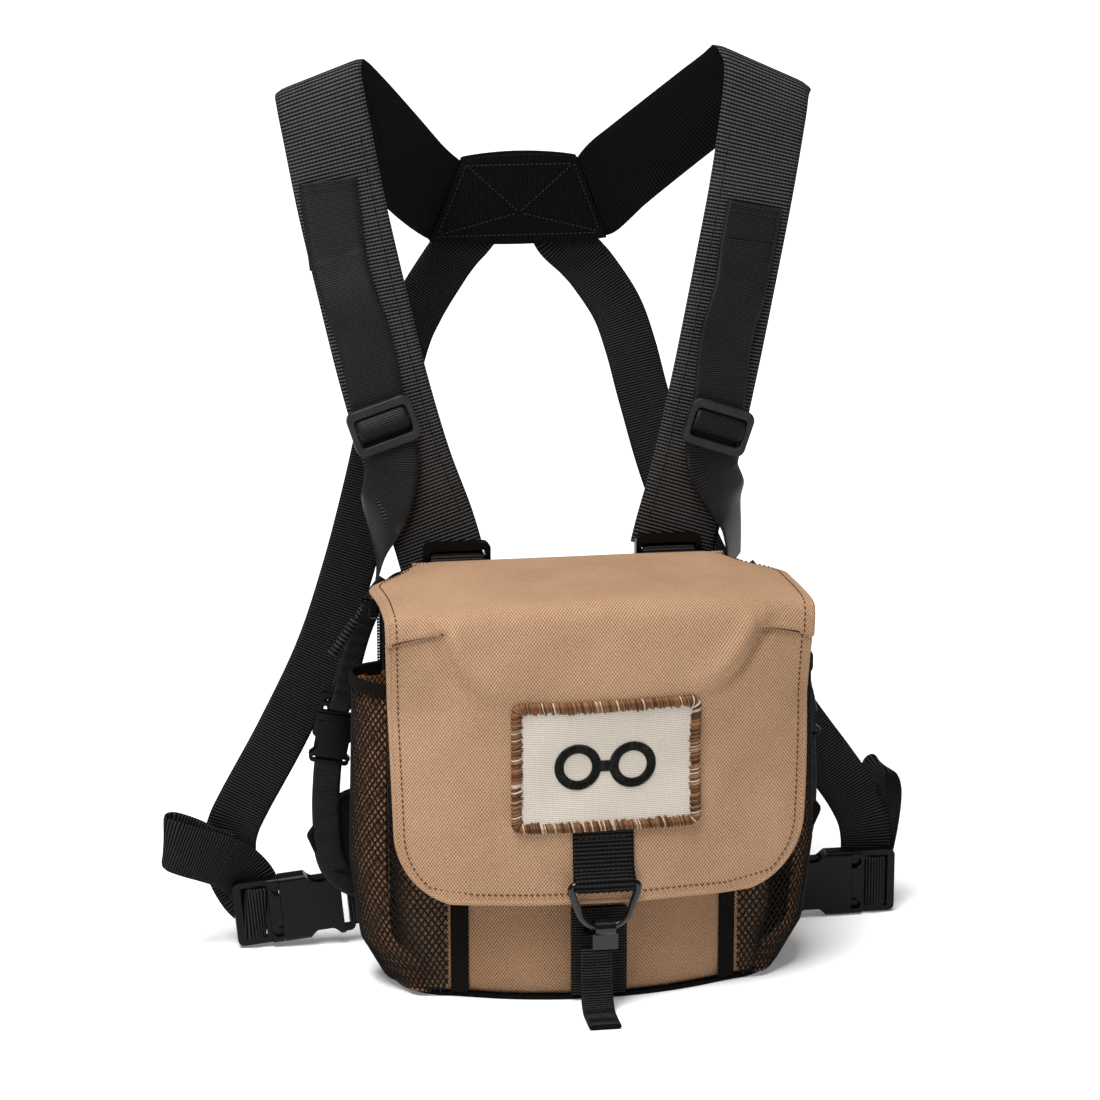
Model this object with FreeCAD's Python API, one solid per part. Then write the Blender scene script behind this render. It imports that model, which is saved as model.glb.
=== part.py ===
"""Binocular harness pack: a soft front-flap bag worn on the chest, with its harness.

Millimetres, +Z up, the bag's front faces -Y, the wearer's left buckle lies at -X.
The origin is the centre of the bag's base, on the surface that it stands on.
"""
import FreeCAD, Part
import math
import os

V = FreeCAD.Vector

# ---------------------------------------------------------------- driving dimensions
BAG_HALF_WIDTH = 88.0
BAG_FRONT = -42.0
SEAM_X = 62.0            # where the front panel meets a side panel
SEAM_Y = -29.0
WALL_BACK = 36.0         # rear edge of the fabric walls
BACK_OUTER = 40.3        # rear face of the back panel
BAG_HEIGHT = 180.0
FABRIC = 1.5
FOAM = 4.0
LINING = 0.8
GAP = 0.2                # between layers that are sewn together
CLEAR = 0.3              # between pieces that move past each other

POCKET_TOP = 141.0
POCKET_BULGE = 107.5
MESH = 1.2

HINGE_Y, HINGE_Z = 38.0, 185.75      # lid seam on the back panel
FOLD_Y = -44.0                       # fold between the lid's top and its front
LID_THICK = 3.5
LID_HALF = 99.0
LID_BOTTOM = 50.0
LID_FRONT = -53.0                    # outer face at the centre
LID_RADIUS = 267.0                   # plan curve of the front flap
LID_CORNER = 32.0
ROLLED_EDGE = 4.0

PATCH_WIDTH, PATCH_HEIGHT, PATCH_LOW = 84.0, 59.0, 84.0
TAB_WIDTH = 26.0
RING_Y, RING_Z = -57.3, 60.0         # upper bar of the closure ring
RING_DROP = 20.5                     # from the upper bar to the lower bar
WIRE_R = 1.5

STRAP_WIDTH, STRAP_THICK = 40.0, 2.2
WEBBING, WEB_THICK = 25.0, 1.6
NARROW, NARROW_THICK = 13.0, 1.2

SIDE_BUCKLE_Y = 51.5
SIDE_MOUTH_LEFT, SIDE_MOUTH_RIGHT = -135.0, 140.0
SIDE_ROLL_LEFT = 5.5                 # degrees, inner end raised
TOP_BUCKLE_X = (-51.2, 48.2)
TOP_BUCKLE_Y = 45.5
TOP_MOUTH_Z = 172.0
TETHER_Y = 41.2
TETHER_MOUTH = (-109.0, 112.0)       # left one; the right one is its mirror image
TETHER_TILT = 11.0
TETHER_SCALE = 0.6

ZIP_Y = 27.0
ZIP_TOP, ZIP_BOTTOM = 176.0, 58.0
ZIP_PARK = 170.0

os.makedirs("parts", exist_ok=True)


# ---------------------------------------------------------------- helpers
def save(name, *solids):
    shape = solids[0] if len(solids) == 1 else Part.makeCompound(list(solids))
    shape.exportStep("parts/" + name + ".step")


def box(x0, x1, y0, y1, z0, z1):
    return Part.makeBox(x1 - x0, y1 - y0, z1 - z0, V(x0, y0, z0))


def rod(radius, start, end):
    run = end - start
    return Part.makeCylinder(radius, run.Length, start, run)


def outline(points):
    """Closed wire of straight sides through the points."""
    corners = [V(*p) for p in points]
    return Part.makePolygon(corners + [corners[0]])


def prism(wire, direction):
    return Part.Face(wire).extrude(direction)


def biggest(shape):
    return max(shape.Solids, key=lambda s: s.Volume)


def mirrored(shape):
    return shape.mirror(V(0, 0, 0), V(1, 0, 0))


def rounded(shape, radius, keep):
    """Fillet the edges for which keep(edge) is true."""
    edges = [e for e in shape.Edges if keep(e)]
    return shape.makeFillet(radius, edges)


def parallel_to(axis):
    def test(edge):
        if not isinstance(edge.Curve, (Part.Line, Part.LineSegment)):
            return False
        run = edge.Vertexes[-1].Point - edge.Vertexes[0].Point
        return run.Length > 0.5 and abs(run.normalize().dot(axis)) > 0.999
    return test


def smooth_stations(stations, between=2):
    """Adds stations between those given, on a curve through them (Catmull-Rom)."""
    rows = [V(*p) for p, _ in stations], [V(*w) for _, w in stations]

    def at(row, i, t):
        a, b = row[max(i - 1, 0)], row[i]
        c, d = row[i + 1], row[min(i + 2, len(row) - 1)]
        return (b * 2 + (c - a) * t + (a * 2 - b * 5 + c * 4 - d) * t ** 2
                + (b * 3 - a - c * 3 + d) * t ** 3) * 0.5

    made = []
    for i in range(len(stations) - 1):
        for k in range(between):
            made.append((at(rows[0], i, k / between), at(rows[1], i, k / between)))
    made.append((rows[0][-1], rows[1][-1]))
    return made


def band(stations, width, thick, between=2):
    """Webbing through stations of (centre, direction across the width)."""
    points = smooth_stations(stations, between)
    sections = []
    for i, (centre, across) in enumerate(points):
        along = points[min(i + 1, len(points) - 1)][0] - points[max(i - 1, 0)][0]
        along.normalize()
        across = across - along * across.dot(along)
        across.normalize()
        out = along.cross(across)
        half, deep = across * (width / 2), out * (thick / 2)
        corners = [centre + half + deep, centre - half + deep,
                   centre - half - deep, centre + half - deep]
        sections.append(Part.makePolygon(corners + [corners[0]]))
    return Part.makeLoft(sections, True, True)


# ---------------------------------------------------------------- bag body
def bag_plan(z, grow=0.0):
    """Plan outline of the bag at height z, offset outwards by grow."""
    front, side, back = BAG_FRONT - grow, BAG_HALF_WIDTH + grow, WALL_BACK + grow
    seam_x, seam_y = SEAM_X + grow * 0.25, SEAM_Y - grow * 0.97
    turn_x, turn_y = 80.0 + grow * 0.75, -20.5 - grow * 0.66
    start_y = -2.0
    edges = [
        Part.Arc(V(-seam_x, seam_y, z), V(0, front, z), V(seam_x, seam_y, z)).toShape(),
        Part.Arc(V(seam_x, seam_y, z), V(turn_x, turn_y, z), V(side, start_y, z)).toShape(),
        Part.makeLine(V(side, start_y, z), V(side, back, z)),
        Part.makeLine(V(side, back, z), V(-side, back, z)),
        Part.makeLine(V(-side, back, z), V(-side, start_y, z)),
        Part.Arc(V(-side, start_y, z), V(-turn_x, turn_y, z), V(-seam_x, seam_y, z)).toShape(),
    ]
    return Part.Wire(edges)


def bag_prism(grow, z0, z1):
    return prism(bag_plan(z0, grow), V(0, 0, z1 - z0))


def bag_layer(outside, inside, z0, z1, open_back=True):
    """A wall of the bag between two offsets of its outline."""
    wall = bag_prism(outside, z0, z1).cut(bag_prism(inside, z0 - 1, z1 + 1))
    if open_back:
        wall = wall.common(box(-150, 150, -150, WALL_BACK + inside - GAP, z0 - 1, z1 + 1))
    return wall


def side_of_seam(shape, sign, z0, z1):
    start = sorted((sign * (SEAM_X + GAP / 2), sign * 150))
    return biggest(shape.common(box(start[0], start[1], -150, 150, z0, z1)))


def build_bag():
    wall_z = 2.2
    wall = bag_layer(0, -FABRIC, wall_z, BAG_HEIGHT)
    middle = SEAM_X - GAP / 2
    save("front_panel", biggest(wall.common(box(-middle, middle, -60, 0, 0, 200))))
    save("side_panel_left", side_of_seam(wall, -1, 0, 200))
    save("side_panel_right", side_of_seam(wall, 1, 0, 200))

    base = bag_prism(0, 0, 2).cut(box(-150, 150, WALL_BACK, 60, -1, 3))
    save("base_panel", base)

    inner = -FABRIC - GAP
    foam_walls = bag_layer(inner, inner - FOAM, 6.6, BAG_HEIGHT - 1)
    foam_front = biggest(foam_walls.common(box(-60, 60, -60, 0, 0, 200)))
    foam_left = biggest(foam_walls.common(box(-150, -60.3, -60, 60, 0, 200)))
    foam_right = mirrored(foam_left)
    foam_base = bag_prism(inner, 2.2, 6.4).cut(box(-150, 150, WALL_BACK - 2, 60, 0, 10))
    save("foam_boards", foam_front, foam_left, foam_right, foam_base)

    lined = inner - FOAM - GAP
    lining = bag_prism(lined, 6.6, BAG_HEIGHT - 1).cut(
        bag_prism(lined - LINING, 6.6 + LINING, BAG_HEIGHT))
    save("lining", lining)

    back = box(-BAG_HALF_WIDTH, BAG_HALF_WIDTH, WALL_BACK + GAP, BACK_OUTER, 0, 183)
    save("back_panel", rounded(back, 12, lambda e: parallel_to(V(0, 1, 0))(e)
                               and e.CenterOfMass.z > 100))
    pad = box(-74, 74, BACK_OUTER + GAP, BACK_OUTER + 4.2, 10, 112)
    save("back_pad", rounded(pad, 14, parallel_to(V(0, 1, 0))))

    rim = bag_layer(0.4, -7.0, BAG_HEIGHT + GAP, BAG_HEIGHT + 2.4)
    tape = bag_layer(1.5, GAP, wall_z, BAG_HEIGHT - 2)
    tape_left = biggest(tape.common(box(-SEAM_X - 4, -SEAM_X + 4, -60, 0, 0, 200)))
    save("binding_tapes", biggest(rim), tape_left, mirrored(tape_left))


# ---------------------------------------------------------------- mesh side pockets
def pocket_section(z, bulge, inset):
    """Closed plan outline of the right pocket; bulge is how far out its side stands."""
    swell = bulge - BAG_HALF_WIDTH
    points = [V(SEAM_X + 5.5, SEAM_Y - 0.6 + inset, z),
              V(SEAM_X + 18 + 0.15 * swell, SEAM_Y + 3 - 0.18 * swell + inset, z),
              V(bulge - 6.5 - inset * 0.7, -19 + inset * 0.7, z),
              V(bulge - inset, -4, z),
              V(bulge - 2.5 - inset, 9, z),
              V(BAG_HALF_WIDTH + 0.5, 17 - inset, z)]
    curve = Part.BSplineCurve()
    curve.interpolate(points)
    closing = Part.makePolygon([points[-1], V(70, 10, z), V(SEAM_X + 5.5, -20, z), points[0]])
    return Part.Wire([curve.toShape()] + closing.Edges)


def build_pockets():
    heights = ((2.4, 92.0), (22.0, 103.0), (60.0, POCKET_BULGE), (POCKET_TOP, 105.5))
    outer = Part.makeLoft([pocket_section(z, b, 0) for z, b in heights], True, False)
    inner_rows = [(z + (MESH if z < 5 else 0) + (1 if z == POCKET_TOP else 0), b)
                  for z, b in heights]
    inner = Part.makeLoft([pocket_section(z, b, MESH) for z, b in inner_rows], True, False)
    body = bag_prism(GAP + 0.1, 0, 200)
    tape = bag_prism(1.7, 0, 200).common(box(SEAM_X - 6, SEAM_X + 4.3, -60, 0, 0, 200))
    shell = biggest(outer.cut(inner).cut(body).cut(tape))
    save("mesh_pocket_right", shell)
    save("mesh_pocket_left", mirrored(shell))

    top = POCKET_TOP + GAP
    ring = prism(pocket_section(top, 105.8, -0.3), V(0, 0, 6))
    hole = prism(pocket_section(top - 1, 105.5, 1.8), V(0, 0, 8))
    hem = biggest(ring.cut(hole).cut(body).cut(tape))
    save("pocket_hems", mirrored(hem), hem)


# ---------------------------------------------------------------- lid
def lid_section(z, y_centre, radius, thick, half):
    """Plan section of the front flap: an arc band of the given thickness."""
    def arc(y, r):
        sag = r - math.sqrt(r * r - half * half)
        return Part.Arc(V(-half, y + sag, z), V(0, y, z), V(half, y + sag, z)).toShape()

    outer, inner = arc(y_centre, radius), arc(y_centre + thick, radius - thick)
    left = Part.makeLine(inner.Vertexes[0].Point, outer.Vertexes[0].Point)
    right = Part.makeLine(outer.Vertexes[-1].Point, inner.Vertexes[-1].Point)
    return Part.Wire(Part.sortEdges([outer, right, inner, left])[0])


def flap_curtain(proud, deep):
    """The front flap's curved sheet before its outline is cut."""
    rows = ((HINGE_Z - 2.5, -46.5, 4000.0), (165.0, -50.5, 420.0),
            (135.0, LID_FRONT, LID_RADIUS), (30.0, LID_FRONT, LID_RADIUS))
    return Part.makeLoft([lid_section(z, y - proud, r, deep, 110) for z, y, r in rows], True, False)


def flap_outline(inset):
    """Front view of the flap: tapering sides and two round lower corners."""
    top, low = LID_HALF - inset, LID_HALF - 4 - inset
    bottom, radius = LID_BOTTOM + inset, LID_CORNER - inset
    bend = radius * (1 - math.sqrt(0.5))
    turn_z, flat_x = bottom + radius, low - radius
    y, z_top = -90, 190
    edges = [
        Part.makeLine(V(-flat_x, y, bottom), V(flat_x, y, bottom)),
        Part.Arc(V(flat_x, y, bottom), V(low - bend, y, bottom + bend),
                 V(low, y, turn_z)).toShape(),
        Part.makeLine(V(low, y, turn_z), V(top, y, z_top)),
        Part.makeLine(V(top, y, z_top), V(-top, y, z_top)),
        Part.makeLine(V(-top, y, z_top), V(-low, y, turn_z)),
        Part.Arc(V(-low, y, turn_z), V(-low + bend, y, bottom + bend),
                 V(-flat_x, y, bottom)).toShape(),
    ]
    return prism(Part.Wire(edges), V(0, 90, 0))


def build_lid():
    z0 = HINGE_Z - LID_THICK / 2
    back_half, front_half, seam = 84.0, LID_HALF, 1.8
    top = prism(outline([(-back_half, HINGE_Y, z0), (back_half, HINGE_Y, z0),
                         (front_half, FOLD_Y + 2.2, z0), (-front_half, FOLD_Y + 2.2, z0)]),
                V(0, 0, LID_THICK))
    piping = rod(seam, V(-back_half, HINGE_Y, HINGE_Z), V(back_half, HINGE_Y, HINGE_Z))
    save("lid_top", top.fuse(piping).removeSplitter())

    inner = flap_curtain(0, LID_THICK).common(flap_outline(ROLLED_EDGE + GAP))
    fold = rod(1.8, V(-94.5, FOLD_Y, HINGE_Z), V(94.5, FOLD_Y, HINGE_Z))
    web = box(-94.5, 94.5, -49.5, FOLD_Y, HINGE_Z - 4.5, HINGE_Z - 0.5)
    save("lid_front", biggest(inner.fuse(web).fuse(fold)))

    thick_edge = flap_curtain(0.9, LID_THICK + 1.4)
    border = flap_outline(0).cut(flap_outline(ROLLED_EDGE))
    border = border.common(box(-120, 120, -90, 0, 0, HINGE_Z - 6))
    save("lid_binding", biggest(thick_edge.common(border)))

    def on_flap(x0, x1, z_low, z_high, start, thick):
        sheet = flap_curtain(start + thick, thick)
        return biggest(sheet.common(box(x0, x1, -90, 0, z_low, z_high)))

    half = PATCH_WIDTH / 2
    patch = on_flap(1 - half, 1 + half, PATCH_LOW, PATCH_LOW + PATCH_HEIGHT, GAP, 1.6)
    save("patch", patch)

    tab = TAB_WIDTH / 2
    strip = on_flap(-tab, tab, RING_Z, PATCH_LOW - 0.4, GAP, WEB_THICK)
    loop_out, loop_in = WIRE_R + CLEAR + WEB_THICK, WIRE_R + CLEAR
    loop = rod(loop_out, V(-tab, RING_Y, RING_Z), V(tab, RING_Y, RING_Z))
    hole = rod(loop_in, V(-tab - 1, RING_Y, RING_Z), V(tab + 1, RING_Y, RING_Z))
    save("lid_tab", biggest(strip.fuse(loop).cut(hole)))


# ---------------------------------------------------------------- closure
def build_closure():
    low = RING_Z - RING_DROP
    half_top, half_low = TAB_WIDTH / 2 + 2.2, 6.5
    path = [V(-half_top, RING_Y, RING_Z), V(half_top, RING_Y, RING_Z),
            V(half_low, RING_Y, low), V(-half_low, RING_Y, low)]
    ring = rod(WIRE_R, path[0], path[1])
    for a, b in zip(path[1:], path[2:] + path[:1]):
        ring = ring.fuse(rod(WIRE_R, a, b))
    for corner in path:
        ring = ring.fuse(Part.makeSphere(WIRE_R, corner))
    save("closure_ring", ring)

    # The hook's eye goes round the ring's lower bar; its ledge reaches under the catch.
    eye = rod(WIRE_R + CLEAR + 2.0, V(-4.6, RING_Y, low), V(4.6, RING_Y, low))
    shank = box(-5.8, 5.8, RING_Y - 2.6, RING_Y + 1.2, low - 9.5, low - 2.2)
    ledge = box(-4.2, 4.2, RING_Y, -49.6, low - 9.5, low - 7.6)
    hook = eye.fuse(shank).fuse(ledge)
    hook = hook.cut(rod(WIRE_R + CLEAR, V(-9, RING_Y, low), V(9, RING_Y, low)))
    save("closure_hook", biggest(hook))

    # Ribbed webbing tab: hangs from the hook, then lies forward on the ground.
    top, foot = low - 9.8, 0.4
    side = [(RING_Y - 0.4, top), (RING_Y - 2.0, 4.0), (RING_Y - 4.2, foot),
            (RING_Y - 24.0, foot), (RING_Y - 24.0, foot + 2.4), (RING_Y - 16.5, foot + 2.4),
            (RING_Y - 4.4, 5.4), (RING_Y - 2.6, top)]
    tab = prism(outline([(-11.0, y, z) for y, z in side]), V(14.6, 0, 0))
    save("pull_tab", tab)

    strip = bag_layer(1.9, GAP, 2.4, 44.0)
    save("closure_strip", biggest(strip.common(box(-13, 13, -60, 0, 0, 100))))

    # A bar held clear of the strip by two posts.
    bar_z, bar_y = low - 5.6, BAG_FRONT - 7.0
    catch = rod(1.2, V(-7.2, bar_y, bar_z), V(7.2, bar_y, bar_z))
    for x in (-6.2, 6.2):
        catch = catch.fuse(box(x - 1, x + 1, bar_y, BAG_FRONT - 2.1, bar_z - 1, bar_z + 1))
    save("closure_catch", catch)


# ---------------------------------------------------------------- rear-pocket zip
def build_zip():
    face = -BAG_HALF_WIDTH - GAP
    left = box(face - 0.8, face, ZIP_Y - 8, ZIP_Y - 0.4, ZIP_BOTTOM, ZIP_TOP + 2)
    right = box(face - 0.8, face, ZIP_Y + 0.4, ZIP_Y + 8, ZIP_BOTTOM, ZIP_TOP + 2)
    save("zipper_tape", left, right)
    coils = []
    for side in (-1, 1):
        y = ZIP_Y + side * 1.4
        coils.append(rod(0.9, V(face - 1.8, y, ZIP_BOTTOM + 2), V(face - 1.8, y, ZIP_TOP)))
    save("zipper_coil", *coils)

    x = face - 3.1
    body = box(x - 3.0, x, ZIP_Y - 3.6, ZIP_Y + 3.6, ZIP_PARK - 5, ZIP_PARK + 5)
    body = rounded(body, 1.4, parallel_to(V(1, 0, 0)))
    axle_x, axle_z = x - 5.2, ZIP_PARK + 1.5
    for y in (ZIP_Y - 3.4, ZIP_Y + 2.0):
        body = body.fuse(box(axle_x - 1.4, x - 2, y, y + 1.4, axle_z - 1.6, axle_z + 1.6))
    body = body.fuse(rod(0.7, V(axle_x, ZIP_Y - 3, axle_z), V(axle_x, ZIP_Y + 3, axle_z)))
    save("zip_slider", body)

    # The pull's eye turns on the slider's pin; a cord end hangs from its tab.
    eye = rod(1.9, V(axle_x, ZIP_Y - 1.6, axle_z), V(axle_x, ZIP_Y + 1.6, axle_z))
    tab = box(axle_x - 1.0, axle_x + 1.0, ZIP_Y - 1.6, ZIP_Y + 1.6, axle_z - 9, axle_z)
    cord = rod(2.2, V(axle_x, ZIP_Y, axle_z - 29), V(axle_x, ZIP_Y, axle_z - 8))
    pull = eye.fuse(tab).fuse(cord)
    pull = pull.cut(rod(0.95, V(axle_x, ZIP_Y - 9, axle_z), V(axle_x, ZIP_Y + 9, axle_z)))
    pull.rotate(V(axle_x, ZIP_Y, axle_z), V(0, 1, 0), 31)
    save("zip_pull", biggest(pull))


# ---------------------------------------------------------------- side-release buckles
# Built for 25 mm webbing along +X (the way the male part leaves), width along Z,
# thickness along Y, with the female part's mouth at X = 0.
def buckle_female():
    body = rounded(box(-29, 0, -5, 5, -16, 16), 2.4, parallel_to(V(1, 0, 0)))
    neck = box(-34, -28, -2.5, 2.5, -15.5, 15.5)
    neck = rounded(neck, 3, lambda e: parallel_to(V(0, 1, 0))(e) and e.CenterOfMass.x < -30)
    body = body.fuse(neck)
    body = body.cut(box(-26, 1, -3, 3, -13.4, 13.4))
    body = body.cut(box(-31.5, -28.6, -9, 9, -13, 13))
    for z in (-19.6, 19.6):
        scallop = Part.makeCylinder(8.2, 30, V(-19.5, -15, z), V(0, 1, 0))
        body = body.cut(scallop)
    return body.removeSplitter()


def buckle_male_frame(loose_prongs):
    """Ladder-lock frame with a centre guide, and pockets for prongs that hinge."""
    frame = rounded(box(0.3, 22, -2.6, 2.6, -15.5, 15.5), 3,
                    lambda e: parallel_to(V(0, 1, 0))(e) and e.CenterOfMass.x > 10)
    shoulder = rounded(box(0.3, 5.6, -4.6, 4.6, -15.8, 15.8), 1.6, parallel_to(V(1, 0, 0)))
    frame = frame.fuse(shoulder)
    frame = frame.cut(box(7.8, 11.4, -9, 9, -12.9, 12.9))
    frame = frame.cut(box(14.8, 18.4, -9, 9, -12.9, 12.9))
    frame = frame.fuse(box(-22, 1, -2.0, 2.0, -2.2, 2.2))
    for side in (-1, 1):
        if loose_prongs:
            frame = frame.cut(Part.makeCylinder(2.1, 20, V(2.9, -10, side * 10.8), V(0, 1, 0)))
            near, far = sorted((side * 7.4, side * 12.9))
            frame = frame.cut(box(-1, 2.9, -9, 9, near, far))
        else:
            frame = frame.fuse(buckle_prong(side))
    return biggest(frame.removeSplitter())


def buckle_prong(side):
    """Spring prong; it turns about the round root at X 2.9, Z +-10.8."""
    root = Part.makeCylinder(1.8, 5.2, V(2.9, -2.6, side * 10.8), V(0, 1, 0))
    inner, outer = sorted((side * 9.4, side * 12.3))
    arm = box(-24, 2.9, -2.4, 2.4, inner, outer)
    inner, outer = sorted((side * 9.4, side * 13.1))
    head = box(-24.5, -14.5, -2.6, 2.6, inner, outer)
    head = rounded(head, 1.5, lambda e: parallel_to(V(0, 1, 0))(e)
                   and side * e.CenterOfMass.z > 12)
    return root.fuse(arm).fuse(head).removeSplitter()


def place_side(shape, left):
    placed = shape.copy()
    if left:
        placed.rotate(V(0, 0, 0), V(0, 0, 1), 180)
        placed.rotate(V(0, 0, 0), V(0, 1, 0), -SIDE_ROLL_LEFT)
        placed.translate(V(SIDE_MOUTH_LEFT, SIDE_BUCKLE_Y, 18.6))
    else:
        placed.translate(V(SIDE_MOUTH_RIGHT, SIDE_BUCKLE_Y, 16.3))
    return placed


def place_upright(shape, x, y, z, scale=1.0, tilt=0.0):
    """Turns a buckle so that its male part leaves upwards, tilted to +X by tilt."""
    placed = shape.scaled(scale, V(0, 0, 0))
    placed.rotate(V(0, 0, 0), V(0, 1, 0), -90 + tilt)
    placed.translate(V(x, y, z))
    return placed


def build_buckles():
    female, male, whole_male = buckle_female(), buckle_male_frame(True), buckle_male_frame(False)
    for left, side in ((True, "left"), (False, "right")):
        save("side_buckle_female_" + side, place_side(female, left))
        save("side_buckle_male_" + side, place_side(male, left))
        save("side_prong_upper_" + side, place_side(buckle_prong(1), left))
        save("side_prong_lower_" + side, place_side(buckle_prong(-1), left))

    females, anchors = [], []
    for x, side in zip(TOP_BUCKLE_X, ("left", "right")):
        females.append(place_upright(female, x, TOP_BUCKLE_Y, TOP_MOUTH_Z))
        save("top_buckle_male_" + side, place_upright(whole_male, x, TOP_BUCKLE_Y, TOP_MOUTH_Z))
        leg = box(x - 12.5, x + 12.5, 40.6, 42.2, 114, TOP_MOUTH_Z - 29.6)
        fold = box(x - 12.5, x + 12.5, 42.2, TOP_BUCKLE_Y + 0.6,
                   TOP_MOUTH_Z - 31.2, TOP_MOUTH_Z - 29.6)
        anchors.append(leg.fuse(fold).removeSplitter())
        link = box(x - 12.4, x + 12.4, TOP_BUCKLE_Y - 2.2, 50.0,
                   TOP_MOUTH_Z + 15.1, TOP_MOUTH_Z + 18.1)
        save("strap_link_" + side, link)
    save("top_buckle_females", *females)
    save("top_anchors", *anchors)

    x, z = TETHER_MOUTH
    small_female = place_upright(female, x, TETHER_Y, z, TETHER_SCALE, TETHER_TILT)
    small_male = place_upright(whole_male, x, TETHER_Y, z, TETHER_SCALE, TETHER_TILT)
    save("tether_buckle_females", small_female, mirrored(small_female))
    save("tether_buckle_male_left", small_male)
    save("tether_buckle_male_right", mirrored(small_male))


# ---------------------------------------------------------------- tethers and wings
def build_tethers():
    y = TETHER_Y
    upper = band([((-84, y, 178), (-0.9, 0, 0.44)), ((-91, y, 168), (-0.88, 0, 0.47)),
                  ((-97, y, 154), (-0.95, 0, 0.3)), ((-101.2, y, 140), (-0.96, 0, 0.25)),
                  ((-104.0, y, 129.6), (-0.97, 0, 0.2))], 10.0, NARROW_THICK)
    save("tether_upper_left", upper)
    save("tether_upper_right", mirrored(upper))
    lower = band([((-113.2, y, 90.6), (-1, 0, 0.12)), ((-114, y, 76), (-1, 0, 0.02)),
                  ((-113.6, y, 50), (-1, 0, -0.03))], NARROW, NARROW_THICK, 1)
    save("tether_lowers", lower, mirrored(lower))


def build_wings():
    """Fabric wings on the back panel, and the webbing that holds each female buckle."""
    cloth = prism(outline([(-80, 42.2, 84), (-106, 42.2, 76), (-122, 42.2, 57),
                           (-113, 42.2, 39), (-100, 42.2, 36.5), (-80, 42.2, 36.5)]),
                  V(0, 1.8, 0))

    def holder(bar_x, z_mid, lean):
        """U of webbing round the female's inner bar, tapering to the back panel."""
        def at(x, y):
            return (bar_x + x, y, z_mid - WEBBING / 2)
        u = prism(outline([at(-3.8, 47.3), at(9, 47.3), at(9, 48.7), at(-2.4, 48.7),
                           at(-2.4, 54.3), at(9, 54.3), at(9, 55.7), at(-3.8, 55.7)]),
                  V(0, 0, WEBBING))
        u.rotate(V(bar_x, SIDE_BUCKLE_Y, z_mid), V(0, 1, 0), lean)
        wedge = prism(outline([at(8, 47.3), at(8, 55.7), at(20, 44.6), at(20, 42.4)]),
                      V(0, 0, WEBBING))
        return biggest(u.fuse(wedge))

    slope = math.radians(SIDE_ROLL_LEFT)
    bar = 32.75
    left = holder(SIDE_MOUTH_LEFT + bar * math.cos(slope), 18.6 + bar * math.sin(slope),
                  -SIDE_ROLL_LEFT)
    right = mirrored(holder(-(SIDE_MOUTH_RIGHT - bar), 16.3, 0))
    save("side_wings", cloth, mirrored(cloth))
    save("wing_webbing", left, right)


# ---------------------------------------------------------------- harness
# Each station is a point on the webbing's middle line and the direction across it.
STRAP_LEFT = [
    ((-57.0, 51.5, 184), (-0.96, 0, -0.28)), ((-62.5, 51.5, 203), (-0.945, 0, -0.33)),
    ((-73, 51.5, 233), (-0.955, 0, -0.30)), ((-83.5, 52, 272), (-0.97, 0, -0.23)),
    ((-92, 53, 312), (-0.98, 0, -0.18)), ((-100, 54.5, 355), (-0.982, 0, -0.18)),
    ((-106.5, 56, 392), (-0.975, -0.03, -0.22)), ((-109, 57.5, 402), (-0.965, -0.06, -0.26)),
    ((-110, 63, 409), (-0.94, -0.12, -0.33)), ((-105.5, 70, 406.5), (-0.90, -0.1, -0.43)),
    ((-95, 80, 394.5), (-0.83, -0.06, -0.56)), ((-77.5, 100, 373), (-0.70, 0, -0.71)),
    ((-57.5, 125, 350.5), (-0.50, 0.06, -0.86)), ((-43, 142.6, 338.8), (-0.38, 0.11, -0.92)),
    ((-34, 143.0, 335.2), (-0.38, 0.11, -0.92))]
STRAP_RIGHT = [
    ((50.8, 51.5, 184), (0.96, 0, -0.28)), ((54.0, 51.5, 197), (0.95, 0, -0.31)),
    ((62.0, 52.5, 226), (0.955, 0, -0.30)), ((71.5, 55.5, 268), (0.97, 0, -0.23)),
    ((80.7, 60, 312), (0.98, 0, -0.19)), ((88, 64, 352), (0.98, 0, -0.19)),
    ((94.3, 67, 388), (0.95, 0, -0.30)), ((96.3, 68.5, 399), (0.92, 0, -0.38)),
    ((96.8, 74.5, 406.5), (0.885, 0, -0.465)), ((91.5, 81.5, 404.5), (0.86, -0.02, -0.51)),
    ((80.5, 92, 392.5), (0.78, 0, -0.62)), ((61.5, 110, 373.5), (0.66, 0.03, -0.75)),
    ((42, 129.5, 352.5), (0.48, 0.07, -0.87)), ((29.8, 142.6, 338.8), (0.38, 0.11, -0.92)),
    ((20.8, 143.0, 335.2), (0.38, 0.11, -0.92))]
LOWER_LEFT = [
    ((-22, 148.8, 331), (-0.76, 0, 0.65)), ((-29, 149.6, 321), (-0.76, 0, 0.65)),
    ((-36, 149.4, 313.5), (-0.79, 0, 0.61)), ((-43, 146.5, 305), (-0.80, 0, 0.60)),
    ((-55.4, 137, 289), (-0.83, 0, 0.55)),
    ((-64.7, 127, 273), (-0.87, 0, 0.48)), ((-76, 112, 240), (-0.91, 0, 0.41)),
    ((-85.5, 100, 208), (-0.93, 0, 0.37)), ((-97, 88, 173), (-0.93, 0, 0.37)),
    ((-111.5, 76, 137), (-0.90, 0, 0.43)), ((-131.3, 66, 101), (-0.86, 0, 0.50)),
    ((-152, 58, 68), (-0.82, 0, 0.57))]
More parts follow.
